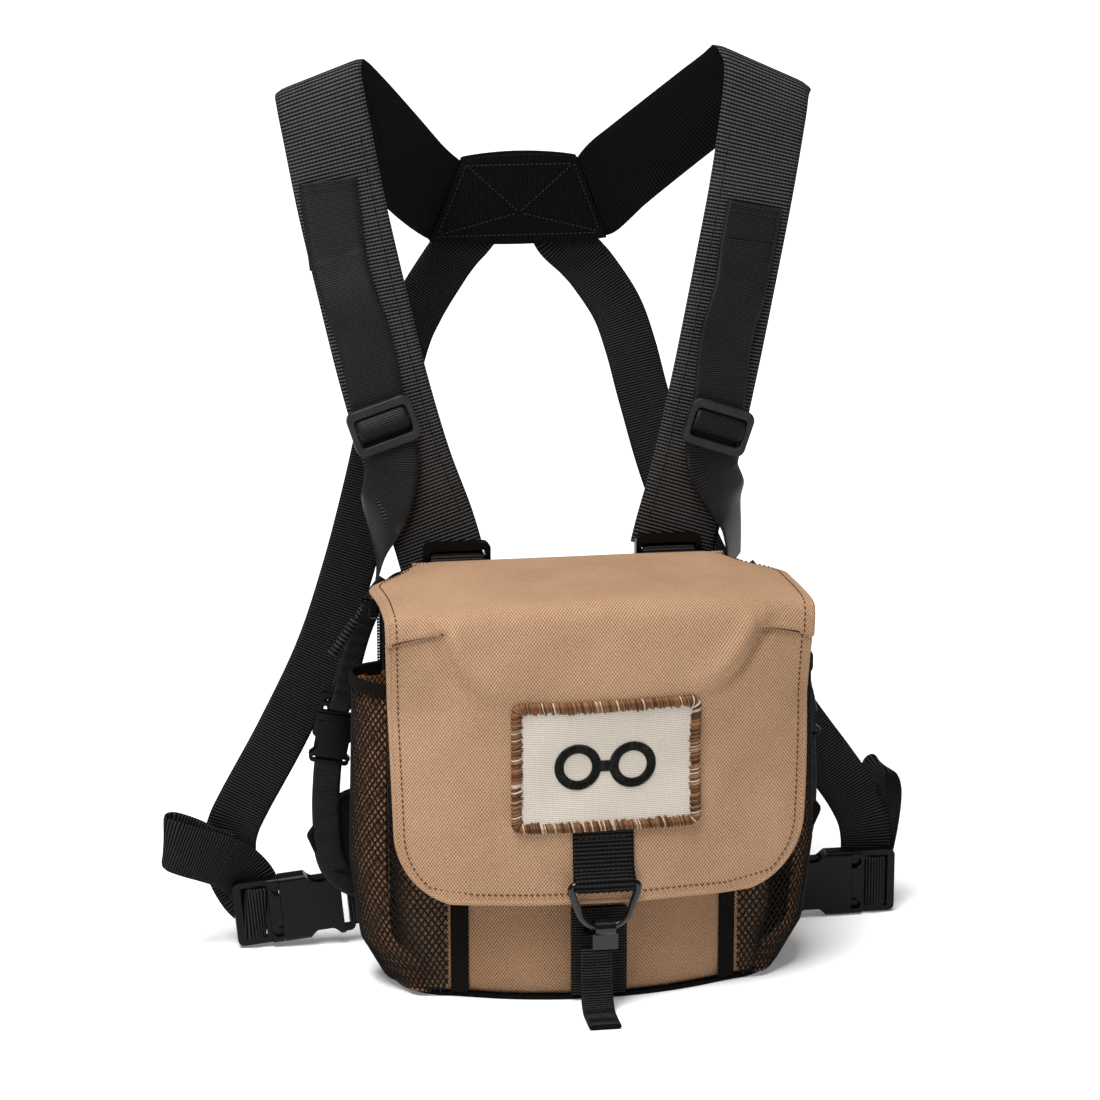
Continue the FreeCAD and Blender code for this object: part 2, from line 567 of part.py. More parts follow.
LOWER_RIGHT = [
    ((10, 148.8, 331), (0.93, 0, 0.35)), ((14, 149.6, 319), (0.93, 0, 0.37)),
    ((24, 149.0, 309), (0.91, 0, 0.40)), ((31.5, 146.5, 300), (0.90, 0, 0.42)),
    ((41.3, 141, 284), (0.94, 0, 0.33)),
    ((46.8, 133, 266), (0.96, 0, 0.25)), ((52, 124, 242), (0.98, 0, 0.19)),
    ((61, 110, 206), (0.95, 0, 0.31)), ((76, 95, 167), (0.90, 0, 0.43)),
    ((97, 82, 128), (0.84, 0, 0.54)), ((116, 74, 96), (0.79, 0, 0.61)),
    ((134, 66, 70), (0.82, 0, 0.57))]


def build_straps():
    save("shoulder_strap_left", band(STRAP_LEFT, STRAP_WIDTH, STRAP_THICK))
    save("shoulder_strap_right", band(STRAP_RIGHT, STRAP_WIDTH, STRAP_THICK))
    save("lower_strap_left", band(LOWER_LEFT, WEBBING, WEB_THICK))
    save("lower_strap_right", band(LOWER_RIGHT, WEBBING, WEB_THICK))

    sleeve_left = band([((-107.8, 52.3, 362), (-0.98, 0, -0.19)),
                        ((-103.6, 51.3, 323), (-0.975, 0, -0.2))], WEBBING, WEB_THICK, 1)
    sleeve_right = band([((91.2, 60.9, 345), (0.98, 0, -0.19)),
                         ((85.0, 58.0, 317), (0.97, 0, -0.22))], WEBBING, WEB_THICK, 1)
    save("strap_sleeves", sleeve_left, sleeve_right)


def build_adjusters():
    """Adjuster webbing from each sleeve, straight behind its slider, then twisting."""
    left = [((-102.5, 48.8, 320), (-0.97, 0, -0.24)), ((-92.6, 48.6, 294), (-0.95, 0, -0.30)),
            ((-87.6, 48.4, 264), (-0.95, 0, -0.32)), ((-84.3, 48.4, 250), (-0.95, 0, -0.32)),
            ((-80.5, 48.4, 236), (-0.95, 0, -0.32)), ((-79.5, 46.6, 219), (-0.95, 0.2, -0.2)),
            ((-82.0, 47.0, 204), (-0.86, 0.5, 0)), ((-86.6, 52.0, 190), (-0.60, 0.80, 0)),
            ((-86.6, 54.6, 177), (-0.36, 0.93, 0))]
    right = [((84.2, 55.2, 315), (0.97, 0, -0.24)), ((76.6, 52.2, 288), (0.95, 0, -0.30)),
             ((73.6, 49.4, 258), (0.95, 0, -0.32)), ((71.2, 49.2, 243.7), (0.95, 0, -0.32)),
             ((69.6, 49.0, 229), (0.95, 0, -0.32)), ((73.0, 45.6, 215), (0.92, 0.34, -0.2)),
             ((76.8, 48.6, 202), (0.82, 0.57, 0)), ((82.0, 53.0, 188), (0.62, 0.78, 0)),
             ((82.5, 54.0, 177), (0.60, 0.80, 0))]
    save("adjuster_webbing_left", band(left, WEBBING, WEB_THICK))
    save("adjuster_webbing_right", band(right, WEBBING, WEB_THICK))


def build_sliders():
    """Tri-glide sliders: a rounded frame with a centre bar set back in it."""
    long, tall, bar, deep = 31.0, 22.0, 4.2, 3.4
    upright = parallel_to(V(0, 1, 0))
    frame = rounded(box(-long / 2, long / 2, -deep, 0, -tall / 2, tall / 2), 4.5, upright)
    window = box(-long / 2 + bar - 1.2, long / 2 - bar + 1.2, -9, 9, -tall / 2 + bar, tall / 2 - bar)
    frame = frame.cut(rounded(window, 2, upright))
    frame = frame.makeFillet(0.7, [e for e in frame.Edges if e.CenterOfMass.y < -deep + 0.1])
    frame = frame.fuse(rod(1.3, V(-long / 2 + 2, -1.4, 0), V(long / 2 - 2, -1.4, 0)))
    for side, x, y, z, tilt in (("left", -84.6, 47.0, 250.0, -18.5), ("right", 71.6, 47.6, 243.7, 18.5)):
        placed = frame.copy()
        placed.rotate(V(0, 0, 0), V(0, 1, 0), tilt)
        placed.translate(V(x, y, z))
        save("slider_" + side, placed)


def build_yoke():
    """Two stitched layers that hold the shoulder straps between them."""
    top, bottom, high, low = 27.8, 43.2, 20.5, -20.0
    edges = [
        Part.Arc(V(-top, 0, high), V(0, 0, high + 2.2), V(top, 0, high)).toShape(),
        Part.makeLine(V(top, 0, high), V(bottom, 0, low)),
        Part.Arc(V(bottom, 0, low), V(0, 0, low - 1.8), V(-bottom, 0, low)).toShape(),
        Part.makeLine(V(-bottom, 0, low), V(-top, 0, high)),
    ]
    plate = prism(Part.Wire(edges), V(0, 1.5, 0))
    layers = []
    for offset in (-3.2, 1.7):
        layer = plate.copy()
        layer.translate(V(0, offset, 0))
        layer.rotate(V(0, 0, 0), V(1, 0, 0), 6.9)
        layer.translate(V(-6.7, 142.5, 338.5))
        layers.append(layer)
    save("yoke", *layers)


def flat_turn(centre_x, centre_z, radius, start, end, y_start, y_end):
    """Stations of webbing that turns in its own plane, from one polar angle to another."""
    made = []
    for k in range(5):
        angle = math.radians(start + (end - start) * k / 4)
        across = (math.cos(angle), 0, math.sin(angle))
        y = y_start + (y_end - y_start) * k / 4
        made.append(((centre_x + radius * across[0], y, centre_z + radius * across[2]), across))
    return made


def build_strap_ends():
    """The last flexible stretch of each lower strap and its folded tail."""
    feed = band([((-153.6, 57.6, 66.0), (-0.81, 0, 0.58))]
                + flat_turn(-158.6, 34.5, 17.0, 144, 275, 57.0, 55.4)
                + [((-150.5, 55.4, 18.3), (0.09, 0, -1))], WEBBING, WEB_THICK)
    tail = band([((-150, 47.3, 17.2), (0, 0, 1)), ((-157.5, 46.6, 18.4), (0, 0, 1)),
                 ((-164, 45.0, 25), (0.1, 0, 1)), ((-170, 43.6, 35), (0.15, 0, 0.98)),
                 ((-177, 42.8, 45), (0.15, 0, 0.98)), ((-184, 43.2, 51), (0.15, 0, 0.98)),
                 ((-188.5, 47.2, 53.5), (0.15, 0, 0.98)), ((-185, 51.6, 53.5), (0.15, 0, 0.98)),
                 ((-177, 51.2, 48), (0.15, 0, 0.98)), ((-169, 48.6, 38), (0.15, 0, 0.98))],
                WEBBING, WEB_THICK)
    save("strap_end_left", feed, tail)
    feed = band([((136.0, 65.4, 67.2), (0.82, 0, 0.57))]
                + flat_turn(153.0, 30.2, 13.8, 55, -90, 59.5, 55.6), WEBBING, WEB_THICK)
    tail = band([((152, 47.5, 16.3), (0, 0, 1)), ((163, 47.2, 20), (-0.2, 0, 0.98)),
                 ((168.5, 47.2, 36), (-0.95, 0, 0.3)), ((167.5, 48.5, 53), (-1, 0, 0)),
                 ((165.5, 52.5, 61), (-1, 0, 0)), ((163, 55.8, 54), (-1, 0, 0)),
                 ((160, 56.5, 46), (-1, 0, 0))], 12.0, WEB_THICK)
    save("strap_end_right", feed, tail)


build_bag()
build_pockets()
build_lid()
build_closure()
build_zip()
build_buckles()
build_tethers()
build_wings()
build_straps()
build_adjusters()
build_sliders()
build_yoke()
build_strap_ends()
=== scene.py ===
"""Looks of the binocular harness pack: cloth, webbing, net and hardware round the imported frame.

Lengths in this script are millimetres, in the frame of the CAD model; piece() turns them to metres.
"""
import math

import bmesh
import bpy
import numpy as np
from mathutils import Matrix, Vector, noise


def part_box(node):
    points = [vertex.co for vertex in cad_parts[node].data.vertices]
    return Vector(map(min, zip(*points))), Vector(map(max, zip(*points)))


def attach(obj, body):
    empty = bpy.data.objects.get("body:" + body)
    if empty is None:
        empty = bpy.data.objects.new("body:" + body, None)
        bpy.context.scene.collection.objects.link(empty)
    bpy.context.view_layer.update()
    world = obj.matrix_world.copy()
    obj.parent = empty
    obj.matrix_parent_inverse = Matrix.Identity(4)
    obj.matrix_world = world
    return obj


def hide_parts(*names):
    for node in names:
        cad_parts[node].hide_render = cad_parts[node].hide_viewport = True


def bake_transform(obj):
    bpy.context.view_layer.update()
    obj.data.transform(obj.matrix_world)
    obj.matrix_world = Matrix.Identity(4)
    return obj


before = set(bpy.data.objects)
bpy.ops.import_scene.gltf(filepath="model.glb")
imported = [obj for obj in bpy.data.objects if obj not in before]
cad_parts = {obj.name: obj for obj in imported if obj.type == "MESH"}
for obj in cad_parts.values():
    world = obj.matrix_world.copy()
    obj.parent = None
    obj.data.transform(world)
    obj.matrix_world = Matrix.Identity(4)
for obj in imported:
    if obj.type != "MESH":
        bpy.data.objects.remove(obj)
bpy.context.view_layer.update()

MM = 0.001


def node_box(node):
    """Lowest and highest corner of a CAD node, in millimetres."""
    low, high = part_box(node)
    return np.array(low) / MM, np.array(high) / MM


PACK_LOW, PACK_HIGH = node_box("back_panel")
HALF = PACK_HIGH[0]                          # half the bag's width
BACK_Y = PACK_HIGH[1]                        # rear face of the back panel
BAG_TOP = node_box("front_panel")[1][2]
BAG_FRONT = node_box("base_panel")[0][1]
LID_TOP_Z = node_box("lid_top")[1][2]
LID_HALF = node_box("lid_top")[1][0]
LID_BOTTOM = node_box("lid_binding")[0][2]
PATCH_LOW, PATCH_HIGH = node_box("patch")
STRAP_WIDTH, WEBBING = 40.0, 25.0
SEAM_X, SEAM_Y = 62.0, -29.0                 # where the front panel meets the sides
SIDES = ((-1, "left"), (1, "right"))
X, NORTH = (1, 0, 0), np.array([0.0, 1.0, 0.0])


# ---------------------------------------------------------------- vectors and curves
def unit(v):
    v = np.asarray(v, float)
    return v / np.maximum(np.linalg.norm(v, axis=-1, keepdims=True), 1e-9)


def ease(x):
    """0 below 0, 1 above 1, smooth between."""
    x = np.clip(x, 0.0, 1.0)
    return x * x * (3 - 2 * x)


def through(points, per_span=24):
    """Dense smooth curve through the points (Catmull-Rom), in any number of dimensions."""
    rows = np.asarray(points, float)
    rows = np.vstack([2 * rows[0] - rows[1], rows, 2 * rows[-1] - rows[-2]])
    t = np.linspace(0, 1, per_span, endpoint=False)[:, None]
    spans = [0.5 * (2 * b + (c - a) * t + (2 * a - 5 * b + 4 * c - d) * t ** 2
                    + (3 * b - a - 3 * c + d) * t ** 3)
             for a, b, c, d in zip(rows, rows[1:], rows[2:], rows[3:])]
    return np.vstack(spans + [rows[-2:-1]])


def evenly(dense, step, dims=3):
    """Resamples a dense curve at an even step of its first dims dimensions."""
    runs = np.linalg.norm(np.diff(dense[:, :dims], axis=0), axis=1)
    run = np.concatenate([[0], np.cumsum(runs)])
    at = np.linspace(0, run[-1], max(int(round(run[-1] / step)), 2) + 1)
    return at, np.stack([np.interp(at, run, dense[:, k]) for k in range(dense.shape[1])], 1)


def arc_through(a, b, c, count):
    """Points on the circle through three plan points, from a to c."""
    (ax, ay), (bx, by), (cx, cy) = a, b, c
    d = 2 * (ax * (by - cy) + bx * (cy - ay) + cx * (ay - by))
    aa, bb, cc = ax * ax + ay * ay, bx * bx + by * by, cx * cx + cy * cy
    mid = ((aa * (by - cy) + bb * (cy - ay) + cc * (ay - by)) / d,
           (aa * (cx - bx) + bb * (ax - cx) + cc * (bx - ax)) / d)
    start = math.atan2(ay - mid[1], ax - mid[0])
    turn = math.atan2(cy - mid[1], cx - mid[0]) - start
    middle = (math.atan2(by - mid[1], bx - mid[0]) - start) % (2 * math.pi)
    turn %= 2 * math.pi
    if middle > turn:
        turn -= 2 * math.pi
    radius = math.hypot(ax - mid[0], ay - mid[1])
    angles = start + turn * np.linspace(0, 1, count)
    return np.stack([mid[0] + radius * np.cos(angles), mid[1] + radius * np.sin(angles)], 1)


def rounded(x0, x1, z0, z1, radius, per_corner):
    """Closed outline of a rectangle with round corners, from its upper right corner."""
    ring = []
    for cx, cz, start in ((x1 - radius, z1 - radius, 0), (x0 + radius, z1 - radius, 90),
                          (x0 + radius, z0 + radius, 180), (x1 - radius, z0 + radius, 270)):
        for angle in np.radians(np.linspace(start, start + 90, per_corner)):
            ring.append((cx + radius * math.cos(angle), cz + radius * math.sin(angle)))
    return np.array(ring + ring[:1])


def bag_plan(step=1.5):
    """Outline of the bag in plan, from its back left corner round the front to the back right."""
    front = arc_through((-SEAM_X, SEAM_Y), (0, BAG_FRONT), (SEAM_X, SEAM_Y), 60)
    turn = arc_through((SEAM_X, SEAM_Y), (80, -20.5), (HALF, -2), 30)
    side = np.array([(HALF, y) for y in np.linspace(-1, 36, 20)])
    half = np.vstack([turn, side])
    left = half[::-1] * [-1, 1]
    return evenly(np.vstack([left, front[1:-1], half]), step, 2)


def piece(name, form, material, body, replaces=()):
    """Makes a mesh object from (points in millimetres, faces, uv).

    The body is a CAD body that the piece is attached to; for a tuple (a, b, start, end) the piece is
    left unattached and the tuple's entries are not used.
    """
    points, faces, uv = form
    mesh = bpy.data.meshes.new(name)
    mesh.from_pydata((np.asarray(points, float) * MM).tolist(), [], faces)
    layer = mesh.uv_layers.new(name="UVMap")
    corners = np.zeros(len(mesh.loops), np.int32)
    mesh.loops.foreach_get("vertex_index", corners)
    layer.data.foreach_set("uv", np.asarray(uv, np.float32)[corners].ravel())
    mesh.polygons.foreach_set("use_smooth", [True] * len(mesh.polygons))
    mesh.materials.append(material)
    mesh.validate()
    tidy = bmesh.new()
    tidy.from_mesh(mesh)
    bmesh.ops.recalc_face_normals(tidy, faces=tidy.faces)
    tidy.to_mesh(mesh)
    tidy.free()
    obj = bpy.data.objects.new(name, mesh)
    bpy.context.scene.collection.objects.link(obj)
    if isinstance(body, str):
        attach(obj, body)
    else:
        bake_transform(obj)
    if replaces:
        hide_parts(*replaces)
    return obj


def grid_faces(rows, cols, closed=False, start=0, flip=False):
    """Quads of a grid of points stored row by row; closed joins the last column to the first."""
    made = []
    for r in range(rows - 1):
        for c in range(cols if closed else cols - 1):
            d = (c + 1) % cols
            quad = [start + r * cols + c, start + r * cols + d,
                    start + (r + 1) * cols + d, start + (r + 1) * cols + c]
            made.append(quad[::-1] if flip else quad)
    return made


def grid_normals(grid):
    across = np.gradient(grid, axis=1)
    along = np.gradient(grid, axis=0)
    return unit(np.cross(along, across))


def slab(grid, thick, uv=None):
    """Closed sheet: the grid's surface, its copy thick behind it, and the rim between."""
    rows, cols = grid.shape[:2]
    normal = grid_normals(grid)
    back = grid - normal * thick
    points = np.concatenate([grid.reshape(-1, 3), back.reshape(-1, 3)])
    count = rows * cols
    faces = grid_faces(rows, cols) + grid_faces(rows, cols, start=count, flip=True)
    rim = [(0, c) for c in range(cols)] + [(r, cols - 1) for r in range(1, rows)]
    rim += [(rows - 1, c) for c in range(cols - 2, -1, -1)] + [(r, 0) for r in range(rows - 2, 0, -1)]
    ring = [r * cols + c for r, c in rim]
    for a, b in zip(ring, ring[1:] + ring[:1]):
        faces.append([b, a, a + count, b + count])
    if uv is None:
        u = np.cumsum(np.linalg.norm(np.diff(grid, axis=1, prepend=grid[:, :1]), axis=2), axis=1)
        v = np.cumsum(np.linalg.norm(np.diff(grid, axis=0, prepend=grid[:1]), axis=2), axis=0)
        uv = np.stack([u - u[:, cols // 2:cols // 2 + 1], v], 2)
    flat = uv.reshape(-1, 2)
    return points, faces, np.concatenate([flat, flat])


def route(stations, step, skew=False):
    """Distances, centres, across directions and face directions along a piece of webbing.

    With skew the across directions stay as given, as at a fold that lies at a slant.
    """
    dense = through([list(c) + list(a) for c, a in stations])
    at, even = evenly(dense, step)
    centre, across = even[:, :3], even[:, 3:]
    along = unit(np.gradient(centre, axis=0))
    if skew:
        across = unit(across)
        wider = 1 / np.linalg.norm(np.cross(along, across), axis=1, keepdims=True)
        return at, centre, across * np.minimum(wider, 1.15), unit(np.cross(along, across))
    across = unit(across - along * (across * along).sum(1, keepdims=True))
    return at, centre, across, np.cross(along, across)


def webbing_profile(width, thick, columns=13):
    """Closed section of webbing: (across, out) pairs, thinner at its two edges."""
    u = np.linspace(-1, 1, columns)
    u = np.sign(u) * np.abs(u) ** 0.8 * width / 2
    h = thick / 2 * (1 - 0.75 * (np.abs(u) / (width / 2)) ** 14)
    front, back = np.stack([u, h], 1), np.stack([u, -h], 1)[::-1]
    return np.vstack([front, back])


def webbing(name, stations, width, thick, ribs, material, body, replaces=(),
            skew=False):
    """Ribbed webbing along the stations; ribs is (pitch, height) of its cross ribs."""
    pitch, height = ribs
    at, centre, across, out = route(stations, pitch / 4, skew)
    profile = webbing_profile(width, thick)
    lift = height * np.abs(np.sin(np.pi * at / pitch))
    inner = 1 - (np.abs(profile[:, 0]) / (width / 2)) ** 10
    u = profile[:, 0]
    h = profile[:, 1][None] + np.sign(profile[:, 1])[None] * lift[:, None] * inner[None]
    points = centre[:, None] + across[:, None] * u[None, :, None] + out[:, None] * h[:, :, None]
    rows, cols = points.shape[:2]
    faces = grid_faces(rows, cols, closed=True)
    for row, order in ((0, 1), (rows - 1, -1)):
        half = cols // 2
        for c in range(half - 1):
            quad = [row * cols + c, row * cols + c + 1,
                    row * cols + cols - 2 - c, row * cols + cols - 1 - c]
            faces.append(quad[::order])
    uv = np.stack(np.broadcast_arrays(u[None], at[:, None]), 2)
    return piece(name, (points.reshape(-1, 3), faces, uv.reshape(-1, 2)), material, body,
                 replaces)


def strap_piece(name, stations, width, thick, ribs, material, body, replaces=(),
                skew=False):
    """Webbing along the stations, made by webbing()."""
    made = webbing(name, stations, width, thick, ribs, material, body, replaces, skew)
    return made


def level(*points, across=X):
    """Stations of a webbing whose width lies one way all along it."""
    return [(point, across) for point in points]


def tube(path, radius, sides=8, closed=False, normals=None, flat=1.0):
    """Points, faces and UVs of a round bar along a dense path; flat squeezes it along normals."""
    path = np.asarray(path, float)
    if closed:
        along = unit(np.roll(path, -1, 0) - np.roll(path, 1, 0))
    else:
        along = unit(np.gradient(path, axis=0))
    if normals is None:
        hint = np.array([0.13, 0.21, 0.97])
        if np.abs(along @ hint).max() > 0.95:
            hint = np.array([0.97, 0.13, 0.21])
        normals = np.broadcast_to(hint, path.shape)
    side = unit(np.cross(along, normals))
    up = unit(np.cross(side, along))
    angle = np.linspace(0, 2 * math.pi, sides, endpoint=False)
    radius = np.broadcast_to(np.asarray(radius, float), (len(path),))
    ring = (side[:, None] * np.cos(angle)[None, :, None]
            + up[:, None] * np.sin(angle)[None, :, None] * flat)
    points = path[:, None] + ring * radius[:, None, None]
    rows = len(path)
    faces = grid_faces(rows, sides, closed=True)
    if closed:
        for s in range(sides):
            t = (s + 1) % sides
            faces.append([(rows - 1) * sides + s, (rows - 1) * sides + t, t, s])
    else:
        faces.append(list(range(sides))[::-1])
        faces.append([(rows - 1) * sides + s for s in range(sides)])
    run = np.concatenate([[0], np.cumsum(np.linalg.norm(np.diff(path, axis=0), axis=1))])
    uv = np.stack(np.broadcast_arrays(angle[None] * 2, run[:, None]), 2)
    return points.reshape(-1, 3), faces, uv.reshape(-1, 2)


def merged(parts):
    """Joins several (points, faces, uv) into one."""
    points, faces, uvs, start = [], [], [], 0
    for p, f, uv in parts:
        points.append(p)
        uvs.append(uv)
        faces += [[i + start for i in face] for face in f]
        start += len(p)
    return np.vstack(points), faces, np.vstack(uvs)


def stitches(path, out, pitch=2.6, length=1.7, radius=0.28):
    """A row of sewn stitches along a path, standing a little proud along out."""
    joined = np.hstack([np.asarray(path, float), np.broadcast_to(out, np.shape(path))])
    at, even = evenly(joined, pitch / 6)
    made = []
    for start in np.arange(pitch / 2, at[-1] - pitch / 2, pitch):
        inside = np.linspace(start - length / 2, start + length / 2, 5)
        line = np.stack([np.interp(inside, at, even[:, k]) for k in range(6)], 1)
        arch = np.array([-0.6, 0.35, 0.7, 0.35, -0.6]) * radius
        centre = line[:, :3] + unit(line[:, 3:]) * arch[:, None]
        made.append(tube(centre, radius * np.array([0.5, 1, 1.1, 1, 0.5]), 5))
    return merged(made)


# ---------------------------------------------------------------- materials
def rgb(red, green, blue):
    """An sRGB colour of 0 to 255 as the linear colour that shaders use."""
    made = []
    for c in (red, green, blue):
        c /= 255
        made.append(c / 12.92 if c <= 0.04045 else ((c + 0.055) / 1.055) ** 2.4)
    return (*made, 1.0)


class Shader:
    """One material and the few node recipes that these materials share."""

    def __init__(self, name, rough, **sockets):
        self.mat = bpy.data.materials.new(name)
        self.mat.use_nodes = True
        self.tree = self.mat.node_tree
        self.bsdf = self.tree.nodes["Principled BSDF"]
        self.bsdf.inputs["Roughness"].default_value = rough
        for socket, value in sockets.items():
            self.bsdf.inputs[socket.replace("_", " ")].default_value = value
        self.place = self.tree.nodes.new("ShaderNodeTexCoord").outputs["Object"]
        self.across = self.along = None

    def put(self, socket, value):
        if hasattr(value, "is_linked"):
            self.tree.links.new(value, socket)
        else:
            socket.default_value = value

    def math(self, operation, a, b=0.0):
        node = self.tree.nodes.new("ShaderNodeMath")
        node.operation = operation
        self.put(node.inputs[0], a)
        self.put(node.inputs[1], b)
        return node.outputs[0]

    def woven(self):
        """Sockets of the piece's own map: millimetres across and along."""
        if self.across is None:
            uv = self.tree.nodes.new("ShaderNodeUVMap")
            split = self.tree.nodes.new("ShaderNodeSeparateXYZ")
            uv.uv_map = "UVMap"
            self.put(split.inputs[0], uv.outputs[0])
            self.across, self.along = split.outputs[0], split.outputs[1]
        return self.across, self.along

    def wave(self, position, pitch, phase=0.0):
        """Sine of the position with the given pitch, from -1 to 1."""
        turn = self.math("MULTIPLY", position, 2 * math.pi / pitch)
        return self.math("SINE", self.math("ADD", turn, phase))

    def noise(self, size, detail=3.0, rough=0.55):
        """Noise whose features are about size millimetres wide."""
        node = self.tree.nodes.new("ShaderNodeTexNoise")
        self.put(node.inputs["Vector"], self.place)
        node.inputs["Scale"].default_value = 1000.0 / size
        node.inputs["Detail"].default_value = detail
        node.inputs["Roughness"].default_value = rough
        return node.outputs["Fac"]

    def spread(self, value, low, high):
        """Stretches low..high of the value to 0..1."""
        node = self.tree.nodes.new("ShaderNodeMapRange")
        self.put(node.inputs["Value"], value)
        node.inputs["From Min"].default_value = low
        node.inputs["From Max"].default_value = high
        return node.outputs["Result"]

    def mix(self, share, a, b):
        node = self.tree.nodes.new("ShaderNodeMix")
        node.data_type = "RGBA"
        self.put(node.inputs["Factor"], share)
        self.put(node.inputs["A"], a)
        self.put(node.inputs["B"], b)
        return node.outputs["Result"]

    def finish(self, colour, height=None, deep=0.1, strength=1.0, rough=None):
        self.put(self.bsdf.inputs["Base Color"], colour)
        if rough is not None:
            self.put(self.bsdf.inputs["Roughness"], rough)
        if height is not None:
            bump = self.tree.nodes.new("ShaderNodeBump")
            bump.inputs["Distance"].default_value = deep * MM
            bump.inputs["Strength"].default_value = strength
            self.put(bump.inputs["Height"], height)
            self.put(self.bsdf.inputs["Normal"], bump.outputs[0])
        return self.mat


def canvas(name, light, dark, pitches, rough=0.85, deep=0.16, contrast=0.34):
    """Plain-woven cloth: dark gaps between threads, in rows that are staggered by half a pitch."""
    s = Shader(name, rough, Specular_IOR_Level=0.08)
    u, v = s.woven()
    weave = s.math("MULTIPLY", s.wave(u, pitches[0]), s.wave(v, pitches[1]))
    fibre = s.math("MULTIPLY", s.noise(0.6, 2), 0.5)
    tone = s.math("ADD", s.math("MULTIPLY", weave, contrast), fibre)
    tone = s.math("ADD", tone, s.math("MULTIPLY", s.noise(45, 3), 0.35))
    colour = s.mix(s.spread(tone, 0.05, 0.85), dark, light)
    return s.finish(colour, s.math("ADD", weave, fibre), deep)


def ribbed(name, base, crest_highlight, pitch, dot, rough=0.75, along=True, deep=0.14, gloss=0.05):
    """Webbing whose ribs lie across it, each rib broken into small raised stitches; the colour follows
    the rib height, with the crests painted light as a highlight and the valleys near black as painted
    shade.
    """
    s = Shader(name, rough, Specular_IOR_Level=gloss)
    u, v = s.woven()
    if not along:
        u, v = v, u
    rib = s.math("POWER", s.math("ABSOLUTE", s.wave(v, 2 * pitch)), 2.4)
    cell = s.math("ADD", s.math("MULTIPLY", s.wave(u, dot), 0.18), 0.82)
    height = s.math("MULTIPLY", rib, cell)
    tone = s.math("MULTIPLY", height, s.math("ADD", s.noise(1.3, 3), 0.55))
    tone = s.math("ADD", tone, s.math("MULTIPLY", s.noise(25, 2), 0.2))
    # The colour on the rib tops is a painted highlight and the colour in the valleys is painted shade;
    # the stitch dots and the noise vary the weave's own tone.
    colour = s.mix(s.spread(tone, 0.15, 1.1), base, crest_highlight)
    return s.finish(colour, height, deep)


def moulded(name, base, worn, rough, grain=0.5, **sockets):
    """Moulded plastic or painted wire with a fine grain."""
    s = Shader(name, rough, **sockets)
    fine, broad = s.noise(grain, 3), s.noise(9, 3)
    colour = s.mix(s.spread(s.math("ADD", fine, broad), 0.75, 1.35), base, worn)
    shine = s.math("ADD", s.math("MULTIPLY", broad, 0.18), rough - 0.09)
    return s.finish(colour, fine, 0.035, rough=shine)


def threads(name, tones, pitch, rough=0.6):
    """Sewing thread: each thread has its own tone, picked by its place in the map."""
    s = Shader(name, rough, Specular_IOR_Level=0.15)
    u, v = s.woven()
    pick = s.tree.nodes.new("ShaderNodeTexWhiteNoise")
    pick.noise_dimensions = "1D"
    s.put(pick.inputs["W"], s.math("FLOOR", s.math("MULTIPLY", v, 1.0 / pitch)))
    ramp = s.tree.nodes.new("ShaderNodeValToRGB")
    ramp.color_ramp.interpolation = "CONSTANT"
    stops = ramp.color_ramp.elements
    stops[0].position, stops[0].color = 0.0, tones[0][1]
    stops[1].position, stops[1].color = tones[1]
    for place, tone in tones[2:]:
        stops.new(place).color = tone
    s.put(ramp.inputs[0], pick.outputs["Value"])
    twist = s.wave(s.math("ADD", v, s.math("MULTIPLY", u, 0.35)), 0.5)
    return s.finish(ramp.outputs[0], twist, 0.05)


def netting(name, base, hole, cell):
    """Thick spacer mesh: round pits in a springy black knit."""
    s = Shader(name, 0.8, Sheen_Weight=0.1)
    pits = s.tree.nodes.new("ShaderNodeTexVoronoi")
    s.put(pits.inputs["Vector"], s.place)
    pits.inputs["Scale"].default_value = 1000.0 / cell
    pits.inputs["Randomness"].default_value = 0.25
    depth = s.spread(pits.outputs["Distance"], 0.15, 0.55)
    tone = s.math("ADD", s.math("MULTIPLY", depth, 0.8), s.math("MULTIPLY", s.noise(0.8), 0.4))
    return s.finish(s.mix(tone, hole, base), depth, 0.5)


CANVAS = canvas("tan_cordura", rgb(200, 164, 133), rgb(118, 86, 60), (1.5, 2.0))
# Darker copy of the tan cloth for the bag's walls under the lid: painted shade, since the fabric is the
# same as the lid's.
CANVAS_SHADED = canvas("tan_cordura_painted_shade", rgb(178, 142, 111), rgb(100, 71, 49), (1.5, 2.0))
NYLON = canvas("black_nylon", rgb(20, 19, 18), rgb(5, 5, 5), (0.9, 1.2))
# For every ribbed() webbing below, the second colour is a painted highlight on the rib crests and the
# first is painted shade in the valleys.
TAPE = ribbed("black_tape", rgb(4, 4, 3), rgb(26, 24, 22), 0.75, 0.9)
MESH_PAD = netting("air_mesh", rgb(32, 31, 30), rgb(3, 3, 3), 2.6)
FOAM = netting("foam", rgb(60, 60, 60), rgb(34, 34, 34), 1.0)
LINING = canvas("lining_fabric", rgb(60, 58, 56), rgb(28, 27, 26), (1.0, 1.0))
NET = moulded("net", rgb(5, 4, 4), rgb(20, 17, 15), 0.6, Specular_IOR_Level=0.15)
# Brown cloth, darker than the bag's, for a sheet just inside each net: painted shade for the pocket's
# hollow seen through the mesh.
NET_SHADE = canvas("net_painted_shade", rgb(146, 102, 68), rgb(52, 34, 22), (2.6, 3.4), contrast=0.5)
STRAP = ribbed("ribbed_webbing", rgb(2, 2, 2), rgb(80, 78, 77), 1.65, 1.55)
